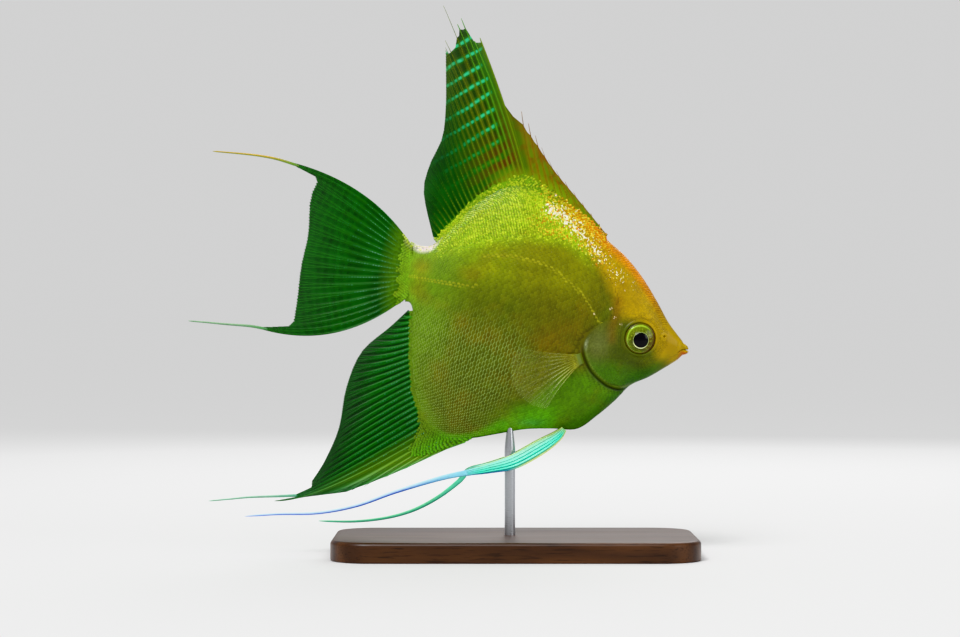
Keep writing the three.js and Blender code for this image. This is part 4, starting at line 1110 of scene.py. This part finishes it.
def scaly_root(name, rays, sway, root_half, limit, facing, first=-0.8):
    """Small scales that run from the body out onto a fin's root.

    limit gives how far they reach by the ray's number, and first where they start, in millimetres.
    facing is 1 for the back's fin, -1 for the belly's and 0 for the tail's.
    """
    step, between = SMALL_PITCH
    last_ray = len(rays[0]) - 1
    number = np.linspace(0, last_ray, 3000)
    start, bend = (np.stack([np.interp(number, np.arange(len(x)), x[:, k]) for k in (0, 1)], 1)
                   for x in rays[:2])
    heading = (bend - start) / length_of(bend - start)
    moved = np.diff(start, axis=0)
    apart = np.abs(moved[:, 0] * heading[1:, 1] - moved[:, 1] * heading[1:, 0])
    spread = np.concatenate([[0], np.cumsum(apart)])
    ray, reach = [], []
    for k, wanted in enumerate(np.arange(0.5 * between, spread[-1], between)):
        here = np.interp(wanted, spread, number)
        last = max(limit(here) + random.normal(0, 0.25), first + 0.5) * MM
        column = np.arange(first * MM + 0.5 * (k % 2) * step, last, step)
        ray.append(np.full(len(column), here))
        reach.append(column)
    ray, reach = np.concatenate(ray), np.concatenate(reach)
    count = len(ray)
    ray = np.clip(ray + random.normal(0, 0.02, count), 0, last_ray - 0.001)
    reach = reach + random.normal(0, 0.06 * MM, count)
    one = ray.astype(int)
    start, bend, end = (lerp(x[one], x[one + 1], (ray - one)[:, None]) for x in rays)
    long = length_of(end - start)
    v = np.clip(reach[:, None] / long, 0, 1)
    heading = lerp(bend - start, end - bend, v)
    heading /= length_of(heading)
    at = on_ray(start, bend, end, v) + heading * np.minimum(reach, 0)[:, None]
    beside = np.stack([heading[:, 1], -heading[:, 0]], 1)
    along, across, high, _ = SMALL_PLATE[0].T
    length = step * 1.35 * (1 + 0.06 * random.normal(size=count))
    width = between * 1.12 * (1 + 0.05 * random.normal(size=count))
    ahead = (along - 0.35) * length[:, None]
    flat = at[:, None] + heading[:, None] * ahead[..., None]
    flat = flat + beside[:, None] * (across * width[:, None])[..., None]
    here = np.maximum(reach[:, None] + ahead, 0)
    half = np.maximum(RAY_HALF, root_half * np.exp(-here / ROOT_SWELLING))
    height = SCALE_ROOT * 0.5 + 0.08 * MM * along + 0.01 * MM * (1 - across ** 2) + high * SCALE_THICK * 0.4
    points = np.stack([flat[..., 0], -half - height, flat[..., 1]], -1).reshape(-1, 3)
    inside = start - heading * 1.0 * MM
    t, share = share_of_way(inside)
    marks = {mark: np.repeat(strengths, len(along))
             for mark, strengths in markings(inside, t, np.clip(share, 0, 1)).items()}
    marks.update(plate_marks(SMALL_PLATE[0], count, 0.4))
    round_body = facing * (1.03 + reach / (17.2 * UNIT)) if facing else 1 - 2 * ray / last_ray
    scale_pieces(f"{name}_{{}}", SMALL_PLATE, np.arange(count), points, marks,
                 0.02 + 0.46 * np.clip(t, 0, 1), 0.5 + 0.45 * round_body, sway(flat, here / long).ravel())


# The webs' own paints: a clear dark green web, paler rays with bright joints, rows of turquoise
# spots between bars in the dorsal fin, brown near the root where this is partly a painted shade,
# and the body's colour running out onto the roots.
JOINT_PITCH, TAIL_BAND_PITCH = 0.85, 2.3  # between a ray's joints and the tail's bands, in millimetres
SPOT_PITCH = 5.1 * MM  # between the dorsal fin's rows of spots


def fin_material(name, web, ray, joint, root, root_reach, glow, band=0.0, pattern=None):
    """A fin's web and rays.

    The body's colour runs root_reach millimetres onto it and the rays stay bright for glow. band is
    how far their colour spreads over the web beside them.
    """
    material, tree, surface = new_material(name, Roughness=0.46, Coat_Weight=0.06, Coat_Roughness=0.2,
                                           Specular_IOR_Level=0.14)
    reach, along, ridge, between = (strength(tree, x) for x in ("reach", "along", "ray", "between"))
    place, blotch = value(tree, "TexCoord", "Object"), noise(tree, 160.0, 4.0)
    colour = blotch.ranged(0.35, 0.65, 0.70, 1.30).shaded(web)
    if pattern:
        colour, ray = pattern(tree, colour, ray)
    crest = ridge.ranged(0.35, 0.85)
    beside = (between - 0.5).math("ABSOLUTE").ranged(0.14, 0.30, 0.0, band) * along.ranged(0.95, 0.55)
    amount = (crest * 0.92).math("MAXIMUM", beside)
    segment = (reach * (2 * math.pi / JOINT_PITCH)).math("SINE")
    dash = segment.ranged(-0.3, 0.3) * ridge.ranged(0.60, 0.98) * noise(tree, 430.0, 2.0).ranged(0.44, 0.56)
    bright = value(tree, "Mix", 2, {0: 0.25, 6: root, 7: joint}, data_type="RGBA")
    ragged = reach.ranged(root_reach, root_reach * 0.4) * blotch.math("MULTIPLY_ADD", 1.2, 0.4)
    root_amount = ragged.math("MINIMUM", 1.0)
    grains = place.then("TexVoronoi", "Color", {"Vector": place, "Scale": 2200.0})
    grain_tone = grains.then("SeparateColor", "Red", {"Color": grains}).ranged(0, 1, 0.78, 1.22)
    colour = colour.under(
        (amount, ray),
        (crest * reach.ranged(glow, glow * 0.3) * 0.55, bright),
        (dash * along.ranged(0.82, 0.30) * 0.9, joint),
        (root_amount, grain_tone.shaded(root)))
    alpha = along.ranged(0.35, 1.0, 0.97, 0.80).math("MAXIMUM", amount.math("MAXIMUM", root_amount))
    feed(surface, Base_Color=colour, Alpha=alpha,
         Normal=bumped(segment * crest + noise(tree, 900.0, 3.0), 0.35, 0.06 * MM))
    return material


def dorsal_pattern(tree, colour, ray):
    """Rows of turquoise spots in the soft part, webs between them red-brown near the root, partly as a
    painted shade there, and orange spines.
    """
    order, reach, along, between = (strength(tree, x) for x in ("order", "reach", "along", "between"))
    axes = node(tree, "SeparateXYZ", {"Vector": value(tree, "TexCoord", "Object")})
    forward, up = (Value(tree, axes.outputs[axis]) for axis in "XZ")
    level = up - forward * 0.60 + noise(tree, 120.0, 2.0) * (2.4 * MM)
    wave = (level * (2 * math.pi / SPOT_PITCH)).math("COSINE")
    soft = order.ranged(25.0, 16.0) * order.ranged(12.0, 12.2)
    spiny = order.ranged(12.3, 10.8)
    dots = wave.ranged(0.62, 0.98) * (between - 0.5).math("ABSOLUTE").ranged(0.50, 0.22)
    dots = dots * order.ranged(29.0, 20.0) * reach.math("MULTIPLY_ADD", 0.1, order).ranged(16.3, 17.1)
    dots = dots * reach.ranged(4.0, 9.0) * noise(tree, 260.0, 1.0).ranged(0.30, 0.46)
    spot_colour = reach.ranged(8.0, 20.0).between("#348014", "#38bc80")
    colour = colour.under(
        (soft * 0.8, "#245c08"),
        # the bars between the rows of spots: red-brown near the root, partly a painted shade of the web's
        # root, and dark green further out
        (soft * reach.ranged(0.5, 2.0) * wave.ranged(0.5, -0.2) * 0.88,
         reach.ranged(8.0, 17.0).between("#52240a", "#1c3408")),  # bars between the rows of spots
        (order.ranged(12.0, 12.2) * order.ranged(14.8, 13.4) * reach.ranged(2.0, 6.0, 0.0, 0.7),
         reach.ranged(17.0, 30.0).between("#523c0a", "#2a6a12")),  # the web of the tall front rays
        (spiny * 0.9, "#627a08"),
        (spiny * noise(tree, 300.0, 3.0).ranged(0.50, 0.62, 0.0, 0.7), "#6a3c08"),
        (spiny * along.ranged(0.55, 0.95, 0.0, 0.75), "#96500c"),
        (order.ranged(11.9, 12.1) * order.ranged(12.75, 12.45) * 0.6, "#4a6c10"),
        (reach.ranged(6.0, 1.0) * order.ranged(20.0, 15.0) * order.ranged(3.0, 8.0) * 0.85, "#7c9a16"),
        (dots, spot_colour.mixed(order.ranged(16.5, 23.0, 0.0, 0.75), "#1e6c30")))
    ray = (order.ranged(24.0, 15.0) * 0.7).between(ray, "#8c8a1c").under(
        (order.ranged(20.0, 27.0), "#1e5e0c"),
        (order.ranged(18.5, 16.5) * order.ranged(11.6, 12.0, 0.0, 0.85), "#94a424"),
        (order.ranged(12.6, 12.8) * order.ranged(15.4, 15.2) * reach.ranged(6.0, 16.0, 0.0, 0.85),
         "#64b834"),
        (spiny * reach.ranged(0.5, 4.0, 0.0, 0.85), "#b4741a"),
        (order.ranged(11.6, 11.8) * order.ranged(12.6, 12.35), "#88a820"))
    return colour, ray


def anal_pattern(tree, colour, ray):
    """The front of the fin, as yellow as the flank, and pale towards the point."""
    front, tip = strength(tree, "order").ranged(9.5, 4.0), strength(tree, "along").ranged(0.35, 0.9)
    return colour.mixed(front, tip.between("#4c7a10", "#2c8434")), front.between(
        ray, tip.between("#88b038", "#84cc94"))


def tail_pattern(tree, colour, ray):
    """Faint pale bands from top to bottom over the outer part of the web."""
    reach = strength(tree, "reach")
    level = noise(tree, 150.0, 2.0).math("MULTIPLY_ADD", 2.4, reach)
    wave = (level * (2 * math.pi / TAIL_BAND_PITCH)).math("SINE")
    band = wave.ranged(-0.6, 1.0, 0.0, 0.20) * reach.ranged(12.0, 20.0)
    return colour.mixed(band, "#146c0c"), band.between(ray, "#2c8420")


# The dorsal fin: twelve short spines, then soft rays swept up into a tall sail.
DORSAL_SPINES = 12
LONG_RAYS = {12: 0.02, 14: 0.05, 15: 0.02, 16: 0.17, 17: 0.07}  # how much of their ends is free
STOUT_RAYS = {12: 1.9, 13: 1.6, 14: 1.7, 15: 1.6, 16: 1.6}
dorsal_tips = np.concatenate([
    tips_along([(37.6, 30.9), (44.6, 36.0), (52.6, 41.6), (63.4, 49.2), (71.0, 56.7), (78.0, 63.4)],
               DORSAL_SPINES),
    plane([(98.8, 84.3), (100.5, 82.6), (107.0, 89.2), (107.7, 86.7), (114.2, 91.8)]),
    tips_along([(110.2, 80.2), (107.0, 69.5), (103.8, 58.2), (102.0, 47.5), (103.6, 37.5), (103.0, 27.5),
                (95.6, 13.6)], 19),
])
LAST = len(STATIONS) - 1
dorsal_base = fin_base(BACK, 7 / LAST, 17.3 / LAST)
dorsal_rays = rays_of(lambda s: dorsal_base(np.interp(s, [0, DORSAL_SPINES / 35, 1], [0, 0.46, 1])),
                      dorsal_tips, lambda s: lerp(60, 40, smooth(s, 0.3, 1)), lambda s: 0.5 + 0 * s)
dorsal_paint = fin_material("dorsal fin", "#064202", "#5c8a1c", "#94b04c", "#5c9410", 1.2, 6.5,
                            band=0.2, pattern=dorsal_pattern)
dorsal_sway = lambda p, s: 2.2 * MM * s ** 2 * np.sin(p[..., 0] / (9 * MM))
dorsal = make_fin("dorsal_fin_web", dorsal_rays, dorsal_sway, ROOT_HALF, dorsal_paint, single=18,
                  free={**dict.fromkeys(range(DORSAL_SPINES), 0.16), **LONG_RAYS},
                  stout={**dict.fromkeys(range(DORSAL_SPINES), 1.5), **STOUT_RAYS},
                  notch={DORSAL_SPINES - 1: 0.45})
scaly_root("scales_dorsal_root", dorsal_rays, dorsal_sway, ROOT_HALF,
           lambda ray: 0.5 + 2.3 * bump(ray - 11.5, 3.5) + 0.7 * smooth(ray, 9, 2), 1)
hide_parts("dorsal_fin")

# The anal fin: six spines, then soft rays that trail down and back.
ANAL_SPINES = 6
ANAL_STREAMER = [(117.0, -85.8), (121.9, -87.4), (131.8, -90.6), (138.0, -93.0), (145.5, -95.9)]


def streamer_tips(points):
    """The tips of the two rays that a streamer goes on from, either side of its first point."""
    start, nxt = even(spline(plane(points)), [0.0, 0.002])
    along = (nxt - start) / np.linalg.norm(nxt - start)
    across = np.array([along[1], -along[0]]) * 0.42 * MM
    return np.array([start - along * 0.3 * MM - across, start - along * 0.3 * MM + across])


anal_tips = np.concatenate([
    tips_along([(65.5, -52.0), (72.5, -57.0), (83.5, -66.9), (94.9, -76.2)], ANAL_SPINES),
    plane([(100.7, -79.9), (124.0, -89.8)]),
    streamer_tips(ANAL_STREAMER),
    plane([(112.4, -81.6)]),
    tips_along([(112.9, -79.4), (110.5, -71.5), (108.8, -59.0), (110.2, -45.0), (108.6, -31.6),
                (101.4, -20.5), (97.0, -13.2)], 21),
])
anal_rays = rays_of(fin_base(BELLY, 12 / LAST, 18 / LAST), anal_tips,
                    lambda s: lerp(-47, -36, smooth(s, 0.25, 1)),
                    lambda s: lerp(0.8, 0.5, smooth(s, 0.2, 0.6)))
anal_paint = fin_material("anal fin", "#053404", "#1f7a1c", "#9ce4c4", "#4c8a14", 1.2, 9.0,
                          band=0.75, pattern=anal_pattern)
anal_sway = lambda p, s: -2.0 * MM * s ** 2 * np.sin(p[..., 1] / (10 * MM))
anal = make_fin("anal_fin_web", anal_rays, anal_sway, ROOT_HALF, anal_paint, single=ANAL_SPINES,
                free=dict.fromkeys(range(ANAL_SPINES), 0.12), stout=dict.fromkeys(range(ANAL_SPINES), 1.5),
                flush=(ANAL_SPINES + 2,))
scaly_root("scales_anal_root", anal_rays, anal_sway, ROOT_HALF,
           lambda ray: 0.4 + 6.5 * bump(ray - 5.0, 3.6), -1)
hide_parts("anal_fin")

# The tail fin: a fan on the end of the stem, with a streamer at each corner.
UPPER_STREAMER = [(148.5, 24.4), (154.5, 24.5), (160.0, 24.0), (166.0, 23.0), (176.4, 20.9)]
LOWER_STREAMER = [(143.5, -33.0), (148.1, -33.5), (156.6, -35.2), (162.0, -36.2), (168.6, -37.5)]
TAIL_ROOT_HALF = 1.22 * MM
tail_tips = np.concatenate([
    streamer_tips(UPPER_STREAMER)[::-1],
    plane([(140.5, 22.4)]),
    tips_along([(139.4, 20.8), (140.0, 14.2), (137.4, 2.3), (136.8, -8.3), (134.9, -20.3),
                (134.0, -27.8)], 13),
    plane([(135.2, -29.9)]),
    streamer_tips(LOWER_STREAMER)[::-1],
])
stem_end = np.array([BACK(1.0), BELLY(1.0)]) - (1.0 * MM, 0)
tail_rays = rays_of(lambda s: lerp(*stem_end, s[:, None]), tail_tips,
                    lambda s: lerp(40, -53, s), lambda s: lerp(0.5, 0.58, s))
tail_sway = lambda p, s: -2.2 * MM * (np.clip(-p[..., 0] / MM - 88, 0, 80) / 40) ** 2
tail_paint = fin_material("tail fin", "#054404", "#237414", "#a4ecc8", "#3e6a0a", 8.0, 18.0,
                          band=0.30, pattern=tail_pattern)
tail = make_fin("tail_fin_web", tail_rays, tail_sway, TAIL_ROOT_HALF, tail_paint,
                flush=(0, len(tail_tips) - 2))
scaly_root("scales_tail_root", tail_rays, tail_sway, TAIL_ROOT_HALF,
           lambda ray: 1.5 + 0.5 * np.cos(ray * 2.1), 0, first=-2.2)
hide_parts("tail_fin")

# ---- The streamers ----------------------------------------------------------------------------
# Long soft threads that go on from a pair of rays at the corners of the tail fin and from the
# point of the anal fin: two bony strands side by side in a thin skin.
STREAMER_ROWS, STREAMER_SIDES = 90, 16
WAIST = 0.22  # how deep the groove between the strands is


def make_thread(name, points, size, out, material, node_name, back=1.5 * MM):
    """A tapered closed thread along the points. size gives half its height and half its width."""
    share = np.linspace(0, 1, STREAMER_ROWS)
    at = even(spline(points), share)
    along = np.gradient(at, axis=0)
    along /= length_of(along)
    at[0] -= along[0] * back
    turn = np.arange(STREAMER_SIDES) / STREAMER_SIDES * 2 * np.pi
    high, wide = (half * (np.sqrt(np.clip((1 - share) / 0.06, 0, 1)) * 0.96 + 0.04) for half in size(share))
    up = np.stack([-along[:, 1], along[:, 0]], 1)
    flat = at[:, None] + up[:, None] * (high[:, None] * np.cos(turn))[..., None]
    y = out(at, share)[:, None] + wide[:, None] * np.sin(turn) * (1 - WAIST * np.abs(np.sin(turn)) ** 6)
    ring = np.stack([flat[..., 0], y, flat[..., 1]], -1)
    points = np.concatenate([ring.reshape(-1, 3), ring[[0, -1]].mean(1)])
    made = new_object(name, in_row(points), round_faces(STREAMER_ROWS, STREAMER_SIDES), material)
    write(made, {
        "along": np.concatenate([np.repeat(share, STREAMER_SIDES), [0, 1]]),
        "height": np.concatenate([np.tile(-np.cos(turn), STREAMER_ROWS), [0, 0]]),
    })
    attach(made, "root")
    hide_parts(node_name)


def thread_material(name, top, under, root):
    """A thread's wet skin, in one colour above, one below and one near its root."""
    material, tree, surface = new_material(name, Roughness=0.38, Coat_Weight=0.3, Coat_Roughness=0.15)
    streaks = noise(tree, 900.0, 3.0)
    colour = (strength(tree, "height").ranged(-0.5, 0.5) * 0.9).between(under, top)
    colour = colour.mixed(strength(tree, "along").ranged(0.30, 0.0), root)
    feed(surface, Base_Color=colour.shaded(streaks.ranged(0, 1, 0.75, 1.25)),
         Normal=bumped(streaks, 0.3, 0.05 * MM))
    return material


tapered = lambda s: (lerp(0.42, 0.18, s) * MM, lerp(0.20, 0.12, s) * MM)
STREAMERS = [
    # node, material, line, sway, colours above, below and near the root
    ("tail_streamer_upper", "upper streamer", UPPER_STREAMER, tail_sway, "#c9a23a", "#7d8a24", "#5f8a2c"),
    ("tail_streamer_lower", "lower streamer", LOWER_STREAMER, tail_sway, "#8fb48a", "#5c8a64", "#4f8f50"),
    ("anal_streamer", "anal streamer", ANAL_STREAMER, anal_sway, "#9fc9b0", "#4f8f70", "#5aa886"),
]
for replaced, paint_name, line, sway, *paints in STREAMERS:
    make_thread(f"{replaced}_thread", plane(line), tapered, lambda p, s: sway(p, 1),
                thread_material(paint_name, *paints), replaced)

# ---- The pelvic fins --------------------------------------------------------------------------
# One of each pair of belly fins: a narrow blade of a spine and a few rays close together, that
# runs out into a long soft streamer. They hang from the breast and trail back under the belly.
PELVIC_BLADE = [(33.9, -37.9), (35.6, -41.2), (40.1, -46.3), (47.4, -53.4), (55.2, -58.0), (61.4, -61.2)]
PELVIC_SIDES = [
    # side, its name, the line of its streamer, the streamer's colours: top, underside, root
    (-1, "right", [(70.2, -65.8), (83.9, -74.5), (95.2, -82.5), (107.2, -88.5), (120.4, -92.6),
                   (131.2, -96.4)], ("#d4f2f4", "#1c5cd0", "#8ad8ea")),
    (1, "left", [(63.8, -65.8), (69.2, -73.1), (76.2, -79.8), (84.5, -85.0), (95.0, -89.4),
                 (107.2, -92.8)], ("#6fe0a4", "#2f9f80", "#5fe0b8")),
]
PELVIC_WIDTHS = [0.9, 1.6, 2.25, 2.2, 1.55, 1.0, 0.72, 0.60, 0.51, 0.44, 0.36, 0.27]
PELVIC_ROOT_OUT, PELVIC_TIP_OUT = 2.1 * MM, 6.5 * MM
BLADE_SHARE, BLADE_RIDGES, BLADE_COLUMNS, BLADE_ROWS = 0.47, 5, 61, 90
pelvic_width = spline([[w * MM] for w in PELVIC_WIDTHS])

pelvic_material, tree, surface = new_material("pelvic fin", Roughness=0.32, Coat_Weight=0.35,
                                              Coat_Roughness=0.15)
across, along, left = (strength(tree, name) for name in ("across", "along", "left"))
streaks, lower = noise(tree, 700.0, 4.0), across.ranged(-0.62, -0.92)
colour = across.ranged(-0.2, 0.9).between("#4aeccc", "#a8f6e4").under(
    (across.ranged(0.25, 0.85) * along.ranged(0.30, 0.10, 0.0, 0.9), "#7fae3a"),
    (across.ranged(0.86, 0.97, 0.0, 0.85), "#c4d86a"),
    (lower * along.ranged(0.30, 0.24), "#dce88c"),
    (lower * along.ranged(0.26, 0.32), "#1c5cae"),
    (along.ranged(0.40, 0.47, 0.0, 0.7), left.between("#8ccfe8", "#4cc890")),
    (along.ranged(0.07, 0.01, 0.0, 0.6), "#c8dc7c"))
colour = colour.shaded(streaks.ranged(0, 1, 0.8, 1.2)).shaded(strength(tree, "ray").ranged(0, 1, 0.82, 1.0))
feed(surface, Base_Color=colour, Normal=bumped(streaks, 0.3, 0.05 * MM))

for side, word, end, streamer_colours in PELVIC_SIDES:
    line = spline(plane(PELVIC_BLADE + end))
    out_at = lambda t: side * (PELVIC_ROOT_OUT + PELVIC_TIP_OUT * np.clip(t, 0, 1) ** 1.3)
    t, across = np.linspace(0, BLADE_SHARE, BLADE_ROWS), np.linspace(-1, 1, BLADE_COLUMNS)[:, None]
    along = line(t + 1e-4) - line(t - 1e-4)
    along /= length_of(along) + 1e-12
    along[0] = along[1]
    ray = 0.5 + 0.5 * np.cos((across + 1) * np.pi * BLADE_RIDGES)
    rim = np.sqrt(np.clip(1 - np.abs(across) ** 8, 0, 1))
    up = np.stack([-along[:, 1], along[:, 0]], 1) * pelvic_width(t)
    half = (0.13 * MM + 0.30 * MM * ray) * (1 - 0.35 * t / BLADE_SHARE) * (rim * 0.85 + 0.15)
    cupped = out_at(t) - side * 0.35 * MM * across ** 2 * np.sin(np.pi * t / BLADE_SHARE)
    points, faces = closed_sheet(*two_sides(line(t) + up * across[..., None], cupped, half))
    blade = new_object(f"pelvic_blade_{word}", in_row(points), faces, pelvic_material)
    write(blade, on_both(half.shape, across=-across, along=t, ray=ray, left=float(side > 0)))
    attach(blade, "root")
    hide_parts(f"pelvic_fin_{word}")
    size = lambda s: (pelvic_width(lerp(BLADE_SHARE, 1, s))[:, 0] * 0.9, lerp(0.26, 0.14, s) * MM)
    make_thread(f"pelvic_thread_{word}", line(np.linspace(BLADE_SHARE, 1, 60)), size,
                lambda p, s: out_at(lerp(BLADE_SHARE, 1, s)),
                thread_material(f"pelvic streamer {word}", *streamer_colours),
                f"pelvic_streamer_{word}", back=0.8 * MM)

# ---- The pectoral fins ------------------------------------------------------------------------
# The clear rowing fins behind the gill covers: a small fan of fine rays from a fleshy root, held
# back and away from the flank.
PECTORAL_RAYS, PECTORAL_LENGTH, PECTORAL_LONGEST, PECTORAL_ROUNDING = 10, 23 * MM, 0.4, 0.6
PECTORAL_SPREAD, PECTORAL_BOW, PECTORAL_CUP, PECTORAL_BASE = 58, 0.75, 1.4 * MM, 3.2 * MM
PECTORAL_OUT, PECTORAL_DOWN = math.radians(25), math.radians(36)
share = np.linspace(0, 1, PECTORAL_RAYS)
angle = np.radians(lerp(PECTORAL_SPREAD / 2, -PECTORAL_SPREAD / 2, share))
root = np.stack([0 * share, lerp(PECTORAL_BASE / 2, -PECTORAL_BASE / 2, share)], 1)
reach = PECTORAL_LENGTH * (1 - PECTORAL_ROUNDING * np.abs(share - PECTORAL_LONGEST) ** 1.6)
outward = lambda angle: np.stack([-np.cos(angle), np.sin(angle)], 1)
pectoral_rays = (root, root + outward(angle * PECTORAL_BOW) * reach[:, None] * 0.5,
                 root + outward(angle) * reach[:, None])

pectoral_paint, tree, surface = new_material("pectoral fin", Roughness=0.35, Coat_Weight=0.1,
                                             Coat_Roughness=0.1)
reach, film = strength(tree, "reach"), noise(tree, 500.0, 3.0)
ray_amount, root_amount = strength(tree, "ray").ranged(0.3, 0.9), reach.ranged(1.5, 0.2)
colour = film.between("#7fa53a", "#a9c46a").under(
    (ray_amount, "#dfe8a0"), (reach.ranged(9.0, 2.5, 0.0, 0.85), "#b8b81c"), (root_amount, "#66782c"))
clearer_below = strength(tree, "order").ranged(3.0, 6.5, 0.35)
ray_alpha = ray_amount * reach.ranged(12.0, 3.0, 0.12, 0.85) * clearer_below
alpha = ray_alpha.math("MAXIMUM", root_amount).ranged(0, 1, 0.05, 1.0)
feed(surface, Base_Color=colour, Alpha=alpha, Normal=bumped(film, 0.2, 0.05 * MM))

at = plane([PECTORAL_AT])
t, share = share_of_way(at)
flank_out = (body_width(t, np.clip(share, 0, 1)) + relief(at) * off_edges(share))[0]
across, ridge, shares, gap_of = fin_grid(pectoral_rays, rows=44)
flat, _, reach = fin_places(pectoral_rays, across, shares, gap_of)
flat = np.concatenate([flat[:, :1] + (1.2 * MM, 0), flat], 1)
ridge, shares, reach = (np.pad(x, ((0, 0), (1, 0)), "edge") for x in (ridge, shares, reach))
half = np.maximum(0.05 * MM + (0.15 * MM - 0.07 * MM * shares) * ridge,
                  0.55 * MM * np.exp(-reach / (1.6 * MM)))
sheet = []
for grid_side in two_sides(flat, PECTORAL_CUP * shares ** 2, half):
    x, y, z = np.moveaxis(grid_side, -1, 0)
    x, z = turned(x, z, PECTORAL_DOWN)
    x, y = turned(x, y, -PECTORAL_OUT)
    sheet.append(np.stack([x + at[0, 0], y + flank_out - 0.35 * MM, z + at[0, 1]], -1))
for side, word in ((-1, "right"), (1, "left")):
    points, faces = closed_sheet(*(grid_side * (1, side, 1) for grid_side in sheet[::side]))
    fan_fin = new_object(f"pectoral_fan_{word}", in_row(points), faces, pectoral_paint)
    write(fan_fin, on_both(ridge.shape, ray=ridge, along=shares, reach=reach / MM, order=gap_of[:, None]))
    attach(fan_fin, "root")
    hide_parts(f"pectoral_fin_{word}")

# ---- The stand --------------------------------------------------------------------------------
# A walnut base with rounded corners and softened edges, oiled, and a brushed steel rod sunk into
# the base that carries the fish under its belly.
BASE_LENGTH, BASE_WIDTH, BASE_THICKNESS, BASE_CORNER = 108 * MM, 58 * MM, 6 * MM, 12 * MM
EDGE_ROUND, UNDER_ROUND = 1.2 * MM, 0.5 * MM
ROD_RADIUS, ROD_X, ROD_FOOT, ROD_TOP = 1.6 * MM, -1.5 * MM, 2.3 * MM, 41.3 * MM
ROD_TAPER, ROD_POINT = 11 * MM, 0.42  # the length that tapers, and the top's share of the radius
CORNER_STEPS, SIDE_STEPS, EDGE_STEPS, ROD_SIDES = 16, 12, 8, 64


def rounded_outline(inset):
    """Places round the base's outline, drawn in by inset."""
    x, y, r = BASE_LENGTH / 2 - inset, BASE_WIDTH / 2 - inset, BASE_CORNER - inset
    ring = []
    for quarter, (sx, sy) in enumerate([(1, -1), (1, 1), (-1, 1), (-1, -1)]):
        corner = np.pi / 2 * (quarter - 1 + np.linspace(0, 1, CORNER_STEPS))
        ring += list((sx * (x - r), sy * (y - r)) + r * np.stack([np.cos(corner), np.sin(corner)], 1))
    filled = []
    for here, there in zip(ring, ring[1:] + ring[:1]):
        steps = SIDE_STEPS if np.linalg.norm(there - here) > 5 * MM else 1
        filled += [here + (there - here) * k / steps for k in range(steps)]
    return filled


def stretched(tree, stretch):
    """The object's own space, scaled more across the grain than along it."""
    place = value(tree, "TexCoord", "Object")
    return place.then("Mapping", "Vector", {"Vector": place, "Scale": stretch})


def grained(tree, stretch, scale, detail):
    place = stretched(tree, stretch)
    return place.then("TexNoise", "Fac", {"Vector": place, "Scale": scale, "Detail": detail})


profile = [(9 * MM, 0.0), (2.2 * MM, 0.0), (0.5 * MM, 0.0)]
for turn in np.arange(1, EDGE_STEPS + 1) / EDGE_STEPS * np.pi / 2:
    profile.append((UNDER_ROUND * (1 - math.sin(turn)), UNDER_ROUND * (1 - math.cos(turn))))
for turn in np.arange(EDGE_STEPS + 1) / EDGE_STEPS * np.pi / 2:
    profile.append((EDGE_ROUND * (1 - math.cos(turn)), BASE_THICKNESS - EDGE_ROUND * (1 - math.sin(turn))))
profile += [(inset, BASE_THICKNESS) for inset in (2.2 * MM, 5 * MM, 9 * MM)]
points = [(*place, z) for inset, z in profile for place in rounded_outline(inset)]
faces = round_faces(len(profile), len(points) // len(profile))[:, ::-1]
points += [(0, 0, 0), (0, 0, BASE_THICKNESS)]
walnut, tree, surface = new_material("walnut", Coat_Weight=0.25, Coat_Roughness=0.25,
                                     Specular_IOR_Level=0.4)
GRAIN, PORES = (9.0, 60.0, 60.0), (140.0, 2600.0, 2600.0)  # how they are stretched along the board
drift, pore = grained(tree, GRAIN, 1.6, 4.0), grained(tree, PORES, 1.0, 3.0)
grain_lines = value(tree, "TexWave", "Fac", {
    "Vector": stretched(tree, GRAIN), "Scale": 1.1, "Distortion": 7.0, "Detail": 4.0, "Detail Scale": 1.4,
}, bands_direction="Y")
colour = grain_lines.between("#342014", "#57371f").under(
    (drift * 0.6, "#4a2c19"), (pore.ranged(0.56, 0.66, 0.0, 0.7), "#1a0d07"))
feed(surface, Base_Color=colour, Roughness=drift.ranged(0, 1, 0.34, 0.52),
     Normal=bumped(pore, 0.25, 0.06 * MM, invert=True))
base = new_object("stand_plate", points, faces, walnut)
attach(base, "root")
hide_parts("stand_base")

heights = np.linspace(ROD_FOOT, ROD_TOP, 40)
sizes = lerp(1, ROD_POINT, smooth(heights, ROD_TOP - ROD_TAPER, ROD_TOP))
heights, sizes = np.pad(heights, (2, 1), "edge"), np.concatenate([[0.001, 1], sizes, [0.001]])
turn = np.arange(ROD_SIDES) / ROD_SIDES * 2 * np.pi
rod_radius = ROD_RADIUS * sizes[:, None]
points = np.stack([ROD_X + rod_radius * np.cos(turn), rod_radius * np.sin(turn),
                   np.broadcast_to(heights[:, None], (len(heights), ROD_SIDES))], -1).reshape(-1, 3)
faces = round_faces(len(heights), ROD_SIDES, capped=False)[:, ::-1]
steel, tree, surface = new_material("steel", Metallic=1.0, Base_Color=linear("#b9bcc0"))
brushing = grained(tree, (500.0, 500.0, 9000.0), 1.0, 2.0)
feed(surface, Roughness=brushing.ranged(0, 1, 0.20, 0.42), Normal=bumped(brushing, 0.15, 0.02 * MM))
rod = new_object("stand_pin", points, faces, steel)
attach(rod, "root")
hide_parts("stand_rod")
